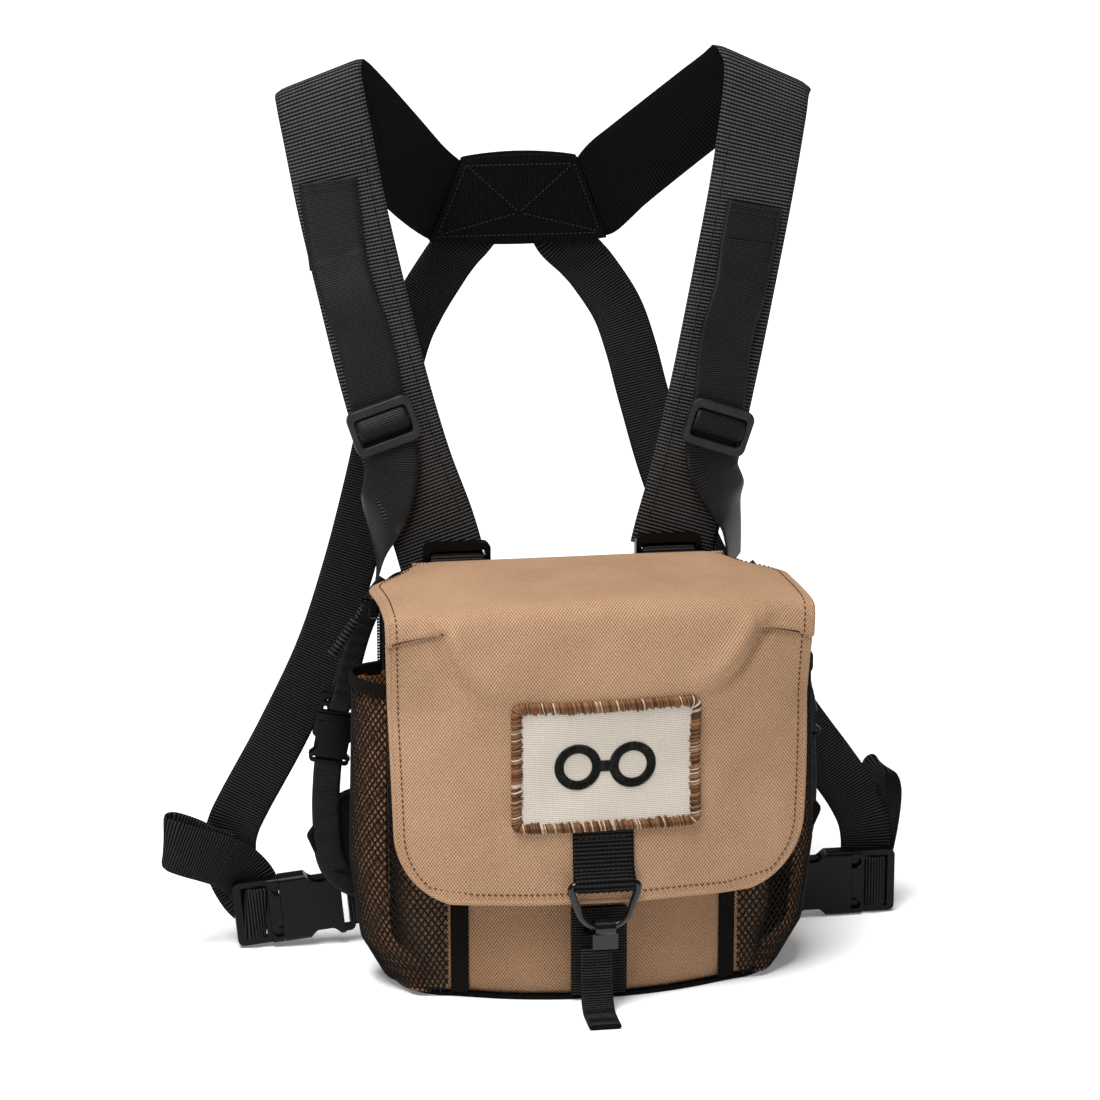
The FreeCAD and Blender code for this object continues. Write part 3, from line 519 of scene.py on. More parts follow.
# Darker copy of the shoulder webbing: painted shade for the straps' inner faces, which face away from
# the light.
STRAP_SHADED = ribbed("ribbed_webbing_painted_shade", rgb(1, 1, 1), rgb(24, 23, 23), 1.65, 1.55)
WEB = ribbed("black_webbing", rgb(1, 1, 1), rgb(50, 49, 48), 1.3, 1.4)
FINE = ribbed("black_webbing_fine", rgb(2, 2, 2), rgb(38, 37, 36), 1.0, 1.1, rough=0.4, deep=0.09,
              gloss=0.12)
PLATE = ribbed("black_webbing_plate", rgb(1, 1, 1), rgb(24, 21, 20), 1.2, 1.6, along=False)
COARSE = ribbed("lid_tab_weave", rgb(2, 2, 2), rgb(40, 39, 38), 1.9, 1.9, deep=0.2)
NYLON_RIB = ribbed("zip_tape_weave", rgb(4, 4, 4), rgb(28, 27, 26), 0.9, 0.9)
TWILL = ribbed("patch_twill", rgb(168, 159, 147), rgb(214, 206, 196), 0.85, 1.3, deep=0.05)
METAL = moulded("black_metal", rgb(2, 2, 2), rgb(8, 8, 8), 0.22, Coat_Weight=0.35,
                Coat_Roughness=0.1, Specular_IOR_Level=0.25)
PLASTIC = moulded("black_plastic", rgb(1, 1, 1), rgb(7, 7, 7), 0.34, Specular_IOR_Level=0.14)
GREY = moulded("grey_plastic", rgb(22, 22, 22), rgb(44, 43, 43), 0.42, Specular_IOR_Level=0.2)
COIL = moulded("zip_coil", rgb(4, 4, 4), rgb(24, 23, 22), 0.4, Specular_IOR_Level=0.25)
CORD = ribbed("zip_cord", rgb(5, 5, 5), rgb(66, 64, 61), 2.0, 1.2, deep=0.08)
THREAD = threads("black_thread", ((0, rgb(16, 16, 15)), (0.5, rgb(44, 42, 40))), 1.3)
TOPSTITCH = threads("brown_thread", ((0, rgb(72, 48, 32)), (0.5, rgb(94, 66, 46))), 1.3)
MERROW = threads("merrow_thread", ((0, rgb(126, 86, 57)), (0.36, rgb(88, 58, 38)),
                                   (0.62, rgb(146, 106, 75)), (0.88, rgb(206, 190, 170))), 0.5)
SATIN = threads("emblem_thread", ((0, rgb(12, 12, 11)), (0.6, rgb(28, 26, 25))), 0.6, rough=0.4)


# ---------------------------------------------------------------- lid
PROFILE = [(38, 187.0), (30, 187.5), (0, 187.7), (-24, 187.7), (-36, 187.3), (-43, 185.8),
           (-48, 181.6), (-50.4, 175), (-51.7, 165), (-52.8, 150), (-53.2, 135),
           (-53.4, 100), (-53.2, 70), (-53.0, LID_BOTTOM + 0.6)]
RUN, PROFILE = evenly(through(PROFILE), 0.5, 2)
FOLD_RUN = 74.0                      # along the cloth from the hinge to the fold
TURN_Z, CORNER = 82.0, 32.0          # where the lower corners begin, and their radius
LID_CLOTH = 2.4
ACROSS_FOLD = ("lid_top", "lid_front", (0, -36, 187), (0, -50, 176))
DARTS = {-1: [(101, 95.5), (73, 94), (46, 131)], 1: [(101, 99), (74, 97), (38, 129)]}


def lid_wide(s):
    """Half the width of the lid's top: narrow at its seam, then out over the bag's sides."""
    return 77 + 20.5 * ease(s / 34) + 1.5 * np.clip(s / FOLD_RUN, 0, 1)


def lid_half(s):
    """Half the lid's width at a run s along the cloth."""
    z = np.interp(s, RUN, PROFILE[:, 1])
    on_top = lid_wide(s)
    front = LID_HALF - 4 * np.clip((187 - z) / (187 - TURN_Z), 0, 1)
    low = LID_HALF - 4 - CORNER + np.sqrt(np.clip(CORNER ** 2 - np.clip(TURN_Z - z, 0, CORNER) ** 2,
                                                  0, None))
    return np.where(s < FOLD_RUN, on_top, np.where(z < TURN_Z, low, front))


def lid_base(x, s):
    """The lid's outer surface before its darts and creases."""
    y, z = np.interp(s, RUN, PROFILE[:, 0]), np.interp(s, RUN, PROFILE[:, 1])
    fade = np.where(s < FOLD_RUN, 1.0, ease((z - 112) / 64))
    corner = np.clip((np.abs(x) - 60) / (lid_wide(s) - 60), 0, None) ** 2.5
    drop = 4.2 * fade * corner
    curve = np.clip((185 - z) / 45, 0, 1) ** 0.7 / 267
    sag = x * x * curve / 2 * (1 + (x * curve) ** 2 / 4)
    lean = np.where(x > 0, 3.0 * ease((z - 90) / 90) * ease(s / 20), -4.6 * ease(s / 60))
    return np.stack([x - lean * (x / LID_HALF) ** 2, y + sag, z - drop], -1)


def lid_relief(x, s):
    """Height of the lid's soft waves, darts and hem over its smooth surface."""
    half = lid_half(s)
    soft = np.clip((half - np.abs(x)) / 25, 0, 1) * (0.12 + 0.88 * ease((s - 45) / 50))
    wave = np.array([noise.noise(Vector((a / 60, b / 46, 3.1)))
                     + 0.5 * noise.noise(Vector(((a + b) / 34, (a - b) / 90, 7.7)))
                     for a, b in zip(x.ravel(), s.ravel())]).reshape(x.shape)
    lift = 3.4 * wave * soft
    for side, (seam_start, seam_end, fold_end) in DARTS.items():
        for (px, ps), (qx, qs), sewn in ((seam_start, seam_end, True), (seam_end, fold_end, False)):
            run = np.array([side * (qx - px), qs - ps], float)
            length = np.linalg.norm(run)
            run /= length
            dx, ds = x - side * px, s - ps
            t = (dx * run[0] + ds * run[1]) / length
            off = side * (dx * run[1] - ds * run[0])
            if sewn:
                on = ease((t + 0.02) / 0.04) * ease((1.10 - t) / 0.14)
                over = np.where(off < 0, 2.4 * np.exp(off / 8), 0.0)
                lift += on * (over - 1.0 * np.exp(-((off - 0.9) / 1.3) ** 2))
            else:
                on = ease((t + 0.25) / 0.35) * ease((1.15 - t) / 0.95)
                bow = off - 5.0 * np.sin(np.clip(t, 0, 1) * math.pi)
                lift += on * (3.2 * np.exp(-((bow + 5.0) / 6.0) ** 2)
                              - 3.0 * np.exp(-((bow - 2.4) / 3.8) ** 2))
    return lift


def lid_surface(x, s, proud=0.0):
    """Points of the lid's outer face and its outward direction at (x, s)."""
    x, s = np.broadcast_arrays(np.asarray(x, float), np.asarray(s, float))
    e = 0.5
    side = lid_base(x + e, s) - lid_base(x - e, s)
    down = lid_base(x, s + e) - lid_base(x, s - e)
    normal = unit(np.cross(down, side))
    return lid_base(x, s) + normal * (lid_relief(x, s) + proud)[..., None], normal


def run_at(z):
    """The run along the lid's front at height z."""
    front = RUN > FOLD_RUN + 6
    return np.interp(-np.asarray(z, float), -PROFILE[front, 1], RUN[front])


def build_lid():
    """The lid is one cloth from its seam on the back panel, over the fold, down the front."""
    last = RUN[-1]
    turn = run_at(TURN_Z)
    rows = np.concatenate([np.linspace(0, turn, 128, endpoint=False),
                           turn + (last - turn) * np.sin(np.linspace(0, math.pi / 2, 30))])
    t = np.linspace(-1, 1, 141)
    half = lid_half(rows)
    x = half[:, None] * t[None]
    s = np.broadcast_to(rows[:, None], x.shape)
    grid, normal = lid_surface(x, s)
    cloth = piece("lid_cloth", slab(grid, LID_CLOTH, np.stack([x, s], 2)), CANVAS, ACROSS_FOLD,
                  ("lid_top", "lid_front"))
    bottom = grid[-1][1:-1]
    edge = np.vstack([grid[:, 0], bottom, grid[::-1, -1]])
    out = np.vstack([normal[:, 0], normal[-1][1:-1], normal[::-1, -1]])
    dense = evenly(np.hstack([edge, out]), 1.2)[1]
    middle = dense[:, :3] - unit(dense[:, 3:]) * LID_CLOTH / 2
    hem = piece("lid_hem", tube(middle, 1.6, 10, normals=dense[:, 3:]), CANVAS, ACROSS_FOLD,
                ("lid_binding",))
    inset = 3.8
    inner_x = np.concatenate([-half[4:-12] + inset, np.linspace(-58, 58, 60),
                              (half[4:-12] - inset)[::-1]])
    inner_s = np.concatenate([rows[4:-12], np.full(60, last - inset), rows[4:-12][::-1]])
    line, out = lid_surface(inner_x, inner_s, 0.1)
    seam = piece("lid_topstitch", stitches(line, out, 2.7, 1.7, 0.3), TOPSTITCH, ACROSS_FOLD)
    made = []
    for side, ((ax, a_s), (bx, b_s), _) in DARTS.items():
        t = np.linspace(0.07, 1.0, 60)
        line, out = lid_surface(side * (ax + (bx - ax) * t), a_s + (b_s - a_s) * t + 0.5, 0.3)
        made.append(tube(line, 0.5, 6, normals=out))
    darts = piece("lid_dart_seams", merged(made), TOPSTITCH, ACROSS_FOLD)
    across, up = np.meshgrid(np.linspace(-73, 73, 90), np.linspace(179, 186.6, 14))
    grid = np.stack([across, 39.4 - ease((up - 179) / 7.6), up], -1)
    hinge = piece("lid_hinge_cloth", slab(grid, 1.0, np.stack([across, up], -1)), CANVAS,
                  ("pack", "lid_top", (0, 39, 181.5), (0, 38.4, 186.2)))


def on_front(x, z, proud):
    return lid_surface(x, run_at(z), proud)


def thread(path, radius, pitch, count):
    """One embroidery thread; its count picks its tone."""
    points, faces, uv = tube(path, radius, 5)
    uv[:, 1] = (count + 0.5) * pitch
    return points, faces, uv


def build_patch():
    low, high = PATCH_LOW, PATCH_HIGH
    x = np.linspace(low[0] + 1, high[0] + 0.4, 60)
    z = np.linspace(high[2] - 1, low[2] + 1, 44)
    gx, gz = np.meshgrid(x, z)
    piece("patch_cloth", slab(on_front(gx, gz, 1.3)[0], 1.1), TWILL, "lid_front", ("patch",))

    # Border threads go over the edge one beside the next.
    ring = rounded(low[0] + 1.4, high[0] - 0.2, low[2] + 1.4, high[2] - 1.4, 3.0, 7)
    ring = evenly(ring, 0.62, 2)[1]
    tangent = unit(np.gradient(ring, axis=0))
    outward = np.stack([tangent[:, 1], -tangent[:, 0]], 1)
    made = []
    arch = ((-2.5, 1.25), (-1.6, 2.2), (-0.2, 2.75), (1.1, 2.3), (1.8, 0.9), (1.7, 0.1))
    uneven = np.array([noise.noise(Vector((k * 0.9, 0.4, 2.2))) for k in range(len(ring))])
    reach = 1 + 0.55 * uneven[:, None]
    flats = [ring + outward * a * (reach if a < 0 else 1) + tangent * (0.28 * a)
             for a, _ in arch]
    lifts = [on_front(f[:, 0], f[:, 1], h * (1 + 0.22 * uneven))[0]
             for f, (_, h) in zip(flats, arch)]
    for k in range(len(ring) - 1):
        path = through([row[k] for row in lifts], 2)
        made.append(thread(path, 0.4, 0.5, k))
    piece("patch_border", merged(made), MERROW, "lid_front")

    # Emblem: a plain pair of lenses joined by a bar, in satin stitch.
    made = []
    cx, cz = (low[0] + high[0]) / 2, (low[2] + high[2]) / 2
    radii, heights = np.linspace(6.6, 10.6, 5), np.linspace(-2.4, 2.4, 5)
    rows = [(side * 12.5 + radii * math.cos(angle), radii * math.sin(angle))
            for side in (-1, 1) for angle in np.arange(0, 2 * math.pi, 0.085)]
    rows += [(across + 0 * heights, heights) for across in np.arange(-3.4, 3.4, 0.62)]
    for count, (across, up) in enumerate(rows):
        line = on_front(cx + across, cz + up, 1.35 + np.array([0, 0.5, 0.65, 0.5, 0]))[0]
        made.append(thread(line, 0.42, 0.6, count))
    piece("patch_emblem", merged(made), SATIN, "lid_front")


# ---------------------------------------------------------------- closure
RING_Y, RING_Z = -57.3, 60.0         # the ring's plane and its upper bar
RING_DROP, WIRE = 20.5, 1.7          # the ring's height and its wire's radius


def build_closure():
    surface = float(on_front(1.0, 78.0, 0)[0][1])
    tab = level((0, surface - 0.4, 86), (0, surface - 1.0, 82), (0, surface - 1.6, 74),
                (0, surface - 3.6, 66), (0, RING_Y - 2.4, 61.6), (0, RING_Y - 2.2, 58.6),
                (0, RING_Y, 57.3), (0, RING_Y + 2.3, 59.4), (0, RING_Y + 2.4, 64),
                (0, surface - 1.0, 70))
    strap_piece("flap_tab", tab, 27.6, 1.5, (1.9, 0.32), COARSE, "lid_front", ("lid_tab",))
    made = []
    for z in (66.5, 80.5):
        x = np.linspace(-11.5, 11.5, 30)
        y = np.interp(z, (66, 74, 82), (surface - 3.6, surface - 1.6, surface - 1.0)) - 1.0
        made.append(stitches(np.stack([x, 0 * x + y, 0 * x + z], 1), (0, -1, 0), 2.4, 1.6, 0.3))
    piece("flap_tab_stitches", merged(made), THREAD, "lid_front")

    low = RING_Z - RING_DROP
    corners = np.array([(-16.2, RING_Z), (16.2, RING_Z), (9.0, low), (-9.0, low)])
    loop = []
    for k, corner in enumerate(corners):
        before, after = unit(corners[k - 1] - corner), unit(corners[(k + 1) % 4] - corner)
        soft = 4.0 if k < 2 else 9.0
        for t in np.linspace(0, 1, 9):
            a, b = corner + before * soft * (1 - t) ** 2, after * soft * t ** 2
            loop.append(a + b)
    loop = evenly(np.array(loop + loop[:1]), 0.8, 2)[1][:-1]
    path = np.stack([loop[:, 0], np.full(len(loop), RING_Y), loop[:, 1]], 1)
    piece("ring_wire", tube(path, WIRE, 14, closed=True, normals=np.broadcast_to(NORTH, path.shape)),
          METAL, "closure_ring", ("closure_ring",))

    x = -3.7
    pull = level((x, RING_Y - 0.4, 30.5), (x, RING_Y - 1.0, 24), (x, RING_Y - 1.6, 14),
                 (x, RING_Y - 3.2, 6.4), (x, RING_Y - 7.2, 2.4), (x, RING_Y - 14, 1.7),
                 (x, RING_Y - 23.6, 1.5))
    strap_piece("pull_tab_webbing", pull, 14.6, 2.4, (1.5, 0.3), WEB, "closure_hook",
                ("pull_tab",))
    centre, out = [rows[4:-4] for rows in route(pull, 1.2)[1::2]]
    made = [stitches(centre + out * lift, out, 2.2, 1.6, 0.3) for lift in (1.45, -1.45)]
    piece("pull_tab_seam", merged(made), THREAD, "closure_hook")

    strap_piece("closure_webbing", level(*[(0, BAG_FRONT - 1.2, z) for z in (44.5, 30, 16, 3)]),
                25.6, 1.5, (1.3, 0.16), WEB, "pack", ("closure_strip",))


# ---------------------------------------------------------------- bag body
PLAN_RUN, PLAN = bag_plan()
PLAN_OUT = unit(np.stack([np.gradient(PLAN[:, 1]), -np.gradient(PLAN[:, 0])], 1))
RIM_Z = 180.6


def wall(x_range, offset, z_low, z_high, thick, soft=1.0, back_y=36.0):
    """Slab of the bag's wall between two x limits, offset outwards from its plan."""
    inside = (PLAN[:, 0] >= x_range[0]) & (PLAN[:, 0] <= x_range[1]) & (PLAN[:, 1] <= back_y)
    plan, out, run = PLAN[inside], PLAN_OUT[inside], PLAN_RUN[inside]
    z = np.linspace(z_high, z_low, int((z_high - z_low) / 2.5) + 2)
    fade = np.sin(np.pi * np.clip((z - z_low) / (z_high - z_low), 0, 1)) ** 0.5
    ends = np.clip(np.minimum(run - run[0], run[-1] - run) / 12, 0, 1)
    swell = np.array([[noise.noise(Vector((u / 42, v / 50, 1.3))) for u in run] for v in z])
    swell = swell * fade[:, None] * ends[None] * soft
    foot = 2.6 * np.exp(-(z - z_low) / 3.0)
    push = offset + swell - foot[:, None] * (soft > 0)
    points = np.zeros((len(z), len(plan), 3))
    points[..., :2] = plan[None] + out[None] * push[..., None]
    points[..., 2] = z[:, None]
    return slab(points, thick)


def plate_rows(half_at, rows, depth_at, thick, columns=61):
    """Slab between -half and half of each row; depth_at gives y for (x, row)."""
    t = np.linspace(-1, 1, columns)
    half = np.array([half_at(r) for r in rows])
    x = half[:, None] * t[None]
    row = np.broadcast_to(np.asarray(rows)[:, None], x.shape)
    return slab(depth_at(x, row), thick)


def build_bag():
    seam = SEAM_X - 0.3
    walls = {}
    for name, node, limits in (("front_cloth", "front_panel", (-seam, seam)),
                               ("side_cloth_left", "side_panel_left", (-95, -seam - 0.5)),
                               ("side_cloth_right", "side_panel_right", (seam + 0.5, 95))):
        # The walls take the darker copy of the tan cloth, which is painted shade.
        walls[name] = piece(name, wall(limits, 0, 2.2, 179.6, 1.4), CANVAS_SHADED, "pack", (node,))
    foam = piece("foam_wall", wall((-95, 95), -1.9, 6.6, 178.6, 3.4, soft=0), FOAM, "pack",
                 ("foam_boards",))
    lining = piece("lining_wall", wall((-95, 95), -5.8, 7, 178.8, 0.8, soft=0), LINING, "pack",
                   ("lining",))

    def floor_half(y):
        inside = PLAN[:, 0] >= 0
        return float(np.interp(y, PLAN[inside, 1], PLAN[inside, 0])) if y > BAG_FRONT else 1.0

    def flat(z):
        return lambda x, row: np.stack([x, row, np.full_like(x, z)], -1)
    rows = np.concatenate([BAG_FRONT + 0.4 + 6 * np.linspace(0, 1, 9) ** 2,
                           np.linspace(-34, 35.5, 30)])
    base = piece("base_cloth", plate_rows(floor_half, rows[::-1], flat(2.0), 1.8), NYLON, "pack",
                 ("base_panel",))
    inner = piece("lining_floor", plate_rows(lambda y: floor_half(y) - 7, rows[8:-3][::-1],
                                             flat(7.2), 0.8), LINING, "pack")

    def back_half(z):
        over = max(0.0, z - (183 - 12))
        return HALF - 12 + math.sqrt(max(144 - over ** 2, 0.0))

    def back_face(x, z):
        puff = 0.5 * np.cos(x / 176 * np.pi) * np.sin(np.clip(z / 183, 0, 1) * np.pi)
        return np.stack([x, BACK_Y - 0.7 + puff, z], -1)
    rows = np.concatenate([np.linspace(0.4, 170, 60), 171 + 12 * np.sin(np.linspace(0, 1.5, 12))])
    back = piece("back_board", plate_rows(back_half, rows, back_face, 3.6), NYLON, "pack",
                 ("back_panel",))

    plan = PLAN[PLAN[:, 1] <= 35.5]
    out = PLAN_OUT[PLAN[:, 1] <= 35.5]
    line = evenly(np.hstack([plan - out * 3.2, np.full((len(plan), 1), RIM_Z - 1.0),
                             out, np.zeros((len(plan), 1))]), 3.0)[1]
    tapes = [webbing("bag_rim", [(row[:3], row[3:]) for row in line], 7.0, 2.0, (1.2, 0.14), TAPE,
                     "pack")]
    for side, name in SIDES:
        at = int(np.argmin(np.abs(PLAN[:, 0] - side * SEAM_X) + (PLAN[:, 1] > 0) * 99))
        spot, out = PLAN[at] + PLAN_OUT[at] * 0.9, PLAN_OUT[at]
        tangent = (-out[1], out[0], 0)
        line = [((*spot, z), tangent) for z in (178, 120, 60, 2.6)]
        tapes.append(webbing("seam_tape_" + name, line, 8.2, 1.2, (1.3, 0.2), TAPE, "pack"))
    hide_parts("binding_tapes")
    return walls


def build_pad():
    """Spacer-mesh pad on the back: its CAD board, inflated, then sewn into channels."""
    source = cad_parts["back_pad"]
    mesh = source.data.copy()
    obj = bpy.data.objects.new("back_cushion", mesh)
    bpy.context.scene.collection.objects.link(obj)
    low, high = node_box("back_pad")
    middle = (low + high) / 2 * MM
    for v in mesh.vertices:
        v.co.x = middle[0] + (v.co.x - middle[0]) * 0.98
        v.co.z = middle[2] + (v.co.z - middle[2]) * 0.98
    remesh = obj.modifiers.new("voxels", "REMESH")
    remesh.mode, remesh.voxel_size = "VOXEL", 2.0 * MM
    bake_modifiers(obj)
    start = [v.co.copy() for v in obj.data.vertices]
    cloth = obj.modifiers.new("air", "CLOTH")
    cloth.settings.use_pressure = True
    cloth.settings.uniform_pressure_force = 4.0
    cloth.settings.effector_weights.gravity = 0.0
    for step in range(1, 13):
        bpy.context.scene.frame_set(step)
    bake_modifiers(obj)
    for v, old in zip(obj.data.vertices, start):
        move = v.co - old
        if move.length > 1.5 * MM:
            v.co = old + move * (1.5 * MM / move.length)
    bpy.context.scene.frame_set(1)
    y_in = low[1] * MM
    for v in obj.data.vertices:
        x, z = v.co.x / MM, v.co.z / MM
        depth = min(abs(x + 25), abs(x - 25), abs(z - 61))
        if v.co.y > middle[1]:
            v.co.y -= 1.5 * MM * math.exp(-(depth / 1.8) ** 2)
        v.co.y = min(max(v.co.y, y_in), high[1] * MM + 0.9 * MM)
    obj.data.materials.clear()
    obj.data.materials.append(MESH_PAD)
    obj.data.polygons.foreach_set("use_smooth", [True] * len(obj.data.polygons))
    obj.data.update()
    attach(obj, "pack")
    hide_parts("back_pad")
    line = evenly(rounded(-74, 74, 10, 112, 14, 10), 1.2, 2)[1][:-1]
    path = np.stack([line[:, 0], np.full(len(line), BACK_Y + 1.1), line[:, 1]], 1)
    piece("back_cushion_piping", tube(path, 1.7, 8, closed=True,
                                      normals=np.broadcast_to(NORTH, path.shape)), TAPE, "pack")


def bake_modifiers(obj):
    """Applies every modifier of the object to its mesh."""
    graph = bpy.context.evaluated_depsgraph_get()
    mesh = bpy.data.meshes.new_from_object(obj.evaluated_get(graph))
    obj.modifiers.clear()
    obj.data = mesh


# ---------------------------------------------------------------- mesh pockets
def pocket_plan(z, grow=0.0):
    """Right pocket's outline in plan at height z, from the front seam round to its back edge."""
    bulge = np.interp(z, (2.4, 22, 60, 141, 150), (92.0, 103.0, 107.5, 105.5, 105.5)) + grow
    swell = bulge - HALF
    return [(SEAM_X + 5.0, SEAM_Y - 0.6 - grow), (SEAM_X + 18 + 0.15 * swell,
            SEAM_Y + 3 - 0.18 * swell - grow), (bulge - 6.5, -19), (bulge, -4),
            (bulge - 2.5, 9), (HALF + 0.4, 17)]


def pocket_table(rows, columns, grow=0.0):
    """Pocket points for each height and each share of the way round."""
    made = np.zeros((len(rows), columns, 3))
    for k, z in enumerate(rows):
        line = evenly(through(pocket_plan(z, grow), 12), 0.5, 2)[1]
        share = np.linspace(0, len(line) - 1, columns)
        for axis in (0, 1):
            made[k, :, axis] = np.interp(share, np.arange(len(line)), line[:, axis])
        made[k, :, 2] = z
    return made


def build_pockets():
    rows = np.linspace(2.4, 141.5, 80)
    columns = 90
    table = pocket_table(rows, columns, -0.4)
    width = float(np.linalg.norm(np.diff(table[40], axis=0), axis=1).sum())

    def spot(a, z):
        r = np.clip((z - rows[0]) / (rows[-1] - rows[0]), 0, 1) * (len(rows) - 1)
        c = np.clip(a / width, 0, 1) * (columns - 1)
        r0, c0 = np.minimum(r.astype(int), len(rows) - 2), np.minimum(c.astype(int), columns - 2)
        fr, fc = (r - r0)[:, None], (c - c0)[:, None]
        return ((table[r0, c0] * (1 - fc) + table[r0, c0 + 1] * fc) * (1 - fr)
                + (table[r0 + 1, c0] * (1 - fc) + table[r0 + 1, c0 + 1] * fc) * fr)

    cell_w, cell_h = 3.3, 4.3
    slope = cell_h / cell_w
    made = []
    for lean in (1, -1):
        first = rows[0] - (slope * width if lean > 0 else 0)
        last = rows[-1] + (slope * width if lean < 0 else 0)
        for start in np.arange(first + cell_h / 2, last, cell_h):
            a = np.arange(0, width + 0.01, cell_w / 4)
            z = start + lean * slope * a
            z = z + 0.35 * np.sin(2 * np.pi * a / cell_w)
            on = (z >= rows[0]) & (z <= rows[-1])
            if on.sum() < 4:
                continue
            line = spot(a[on], z[on])
            near = spot(np.clip(a[on] + 0.4, 0, width), z[on]) - line
            out = unit(np.cross(np.broadcast_to([0.0, 0.0, 1.0], near.shape), near) * -1)
            made.append(tube(line + out * 0.2 * lean, 0.45, 4, normals=out, flat=0.7))
    points, faces, uv = merged(made)
    hem_line = pocket_table([144.2], 60, 0.1)[0][::3]
    # A thin sheet just inside the net, from its bulge round to the back, in the darker brown cloth:
    # painted shade standing in for the pocket's shaded inside.
    heights = np.linspace(142.5, 2.5, 60)
    whole = pocket_table(heights, 90, -0.8)
    inner = np.zeros((60, 64, 3))
    for k, z in enumerate(heights):
        share = np.linspace(30 - 16 * ease((30 - z) / 14), 89, 64)
        for axis in range(3):
            inner[k, :, axis] = np.interp(share, np.arange(90), whole[k, :, axis])
    inner_points, inner_faces, inner_uv = slab(inner, 0.5)
    for side, name in SIDES[::-1]:
        mirror = np.array([side, 1, 1])
        side_cloth = piece("pocket_shade_sheet_" + name, (inner_points * mirror, inner_faces, inner_uv),
                           NET_SHADE, "pack")
        net = piece("pocket_net_" + name, (points * mirror, faces, uv), NET, "pack",
                    ("mesh_pocket_" + name,))
        hem = webbing("pocket_hem_" + name, level(*(hem_line * mirror), across=(0, 0, 1)), 6.6, 1.5,
                      (1.1, 0.16), TAPE, "pack", ("pocket_hems",) if side > 0 else ())


# ---------------------------------------------------------------- zip
def build_zip():
    face = -HALF - 0.6
    for side, name in ((-1, "front"), (1, "rear")):
        line = [((face, 27 + side * 4.3, z), (0, 1, 0)) for z in (178, 130, 90, 58)]
        webbing("zip_tape_" + name, line, 7.4, 0.8, (0.9, 0.06), NYLON_RIB, "pack",
                             ("zipper_tape",) if side < 0 else ())
    made = []
    for side in (-1, 1):
        for z in np.arange(60.6, 175.6, 1.4):
            y = 27 + side * 1.3
            turn = np.linspace(0, 2 * math.pi, 7)
            line = np.stack([face - 1.1 - 0.85 * np.cos(turn), y + 1.1 * np.sin(turn),
                             z + side * 0.3 + 0.35 * turn / math.pi], 1)
            made.append(tube(line, 0.36, 5))
    piece("zip_teeth", merged(made), COIL, "pack", ("zipper_coil",))

    # The pull: a wire loop on the slider's pin and a ribbed cord end.
    axle = np.array([-96.5, 27.0, 171.5])
    lean = math.radians(31)
    down = np.array([-math.sin(lean), 0, -math.cos(lean)])
    loop = np.array([(0, -1.5), (2, -1.9), (6, -1.5), (9, -0.8), (9, 0.8), (6, 1.5), (2, 1.9),
                     (0, 1.5), (-1.3, 0), (0, -1.5)])
    path = axle + loop[:, :1] * down + loop[:, 1:] * np.array([0, 1, 0])
    path = evenly(through(path, 8), 0.5)[1][:-1]
    wire = tube(path, 0.6, 8, closed=True)
    run = np.linspace(8.4, 29, 160)
    size = 1.65 + 0.55 * np.abs(np.sin(run * math.pi / 2.0)) ** 0.7
    size = size * np.where(run > 26.2, 1.22, 1.0) * np.clip((run - 8.2) / 1.0, 0.4, 1)
    size = size * np.sqrt(np.clip((29.35 - run) / 1.4, 0.02, 1))
    bend = np.outer(0.004 * (run - 8) ** 2, np.array([-0.5, 0.0, 0.4]))
    grip = tube(axle + run[:, None] * down + bend, size, 16)
    piece("zip_cord_pull", merged([wire, grip]), CORD, "zip_pull", ("zip_pull",))


# ---------------------------------------------------------------- buckles, wings and tethers
def beside_buckle(side, spots, tilt):
    """Stations of webbing at (out from the side buckle's mouth, y); tilt turns their width."""
    mouth, mid, roll = (135.0, 18.6, 5.5) if side < 0 else (140.0, 16.3, 0.0)
    lean = math.radians(roll)
    return level(*[(side * (mouth + out_by * math.cos(lean)), y, mid - out_by * math.sin(lean))
                   for out_by, y in spots], across=(tilt * math.sin(lean), 0, 1))


def build_wings():
    outline = ((36.5, 100.0), (39, 113.0), (45, 117), (57, 122.0), (66, 115), (76, 106.0), (83, 84.0))
    z_at = np.array([z for z, _ in outline])
    x_at = np.array([x for _, x in outline])
    rows = np.linspace(36.8, 82.6, 40)
    t = np.linspace(0, 1, 36)
    half = np.interp(rows, z_at, x_at)
    x = 80 + (half[:, None] - 80) * t[None]
    z = np.broadcast_to(rows[:, None], x.shape)
    y = 42.9 + 0.7 * np.sin(x / 7.0 + z / 9.0)
    for side, name in SIDES:
        wing = piece("wing_cloth_" + name, slab(np.stack([x * side, y, z], -1), 1.4), NYLON,
                     "pack", ("side_wings",) if side < 0 else ())
        edge = np.stack([x[:, -1] * side, y[:, -1], rows], 1)
        hem = piece("wing_edge_" + name, tube(evenly(edge, 1.0)[1], 1.5, 8), TAPE, "pack")

    for side, name in SIDES:
        line = beside_buckle(side, [(x - 63.5, y + 0.2) for x, y in (
            (12.0, 43.9), (20.0, 44.6), (25.0, 47.4), (29.0, 48.0), (30.8, 49.6), (31.2, 51.5),
            (30.8, 53.5), (29.0, 55.0), (24.0, 54.4), (19.5, 48.5), (12.0, 45.6))], side)
        strap_piece("wing_strap_" + name, line, WEBBING - 0.4, 1.3, (1.3, 0.14), WEB, "pack",
                    ("wing_webbing",) if side < 0 else ())


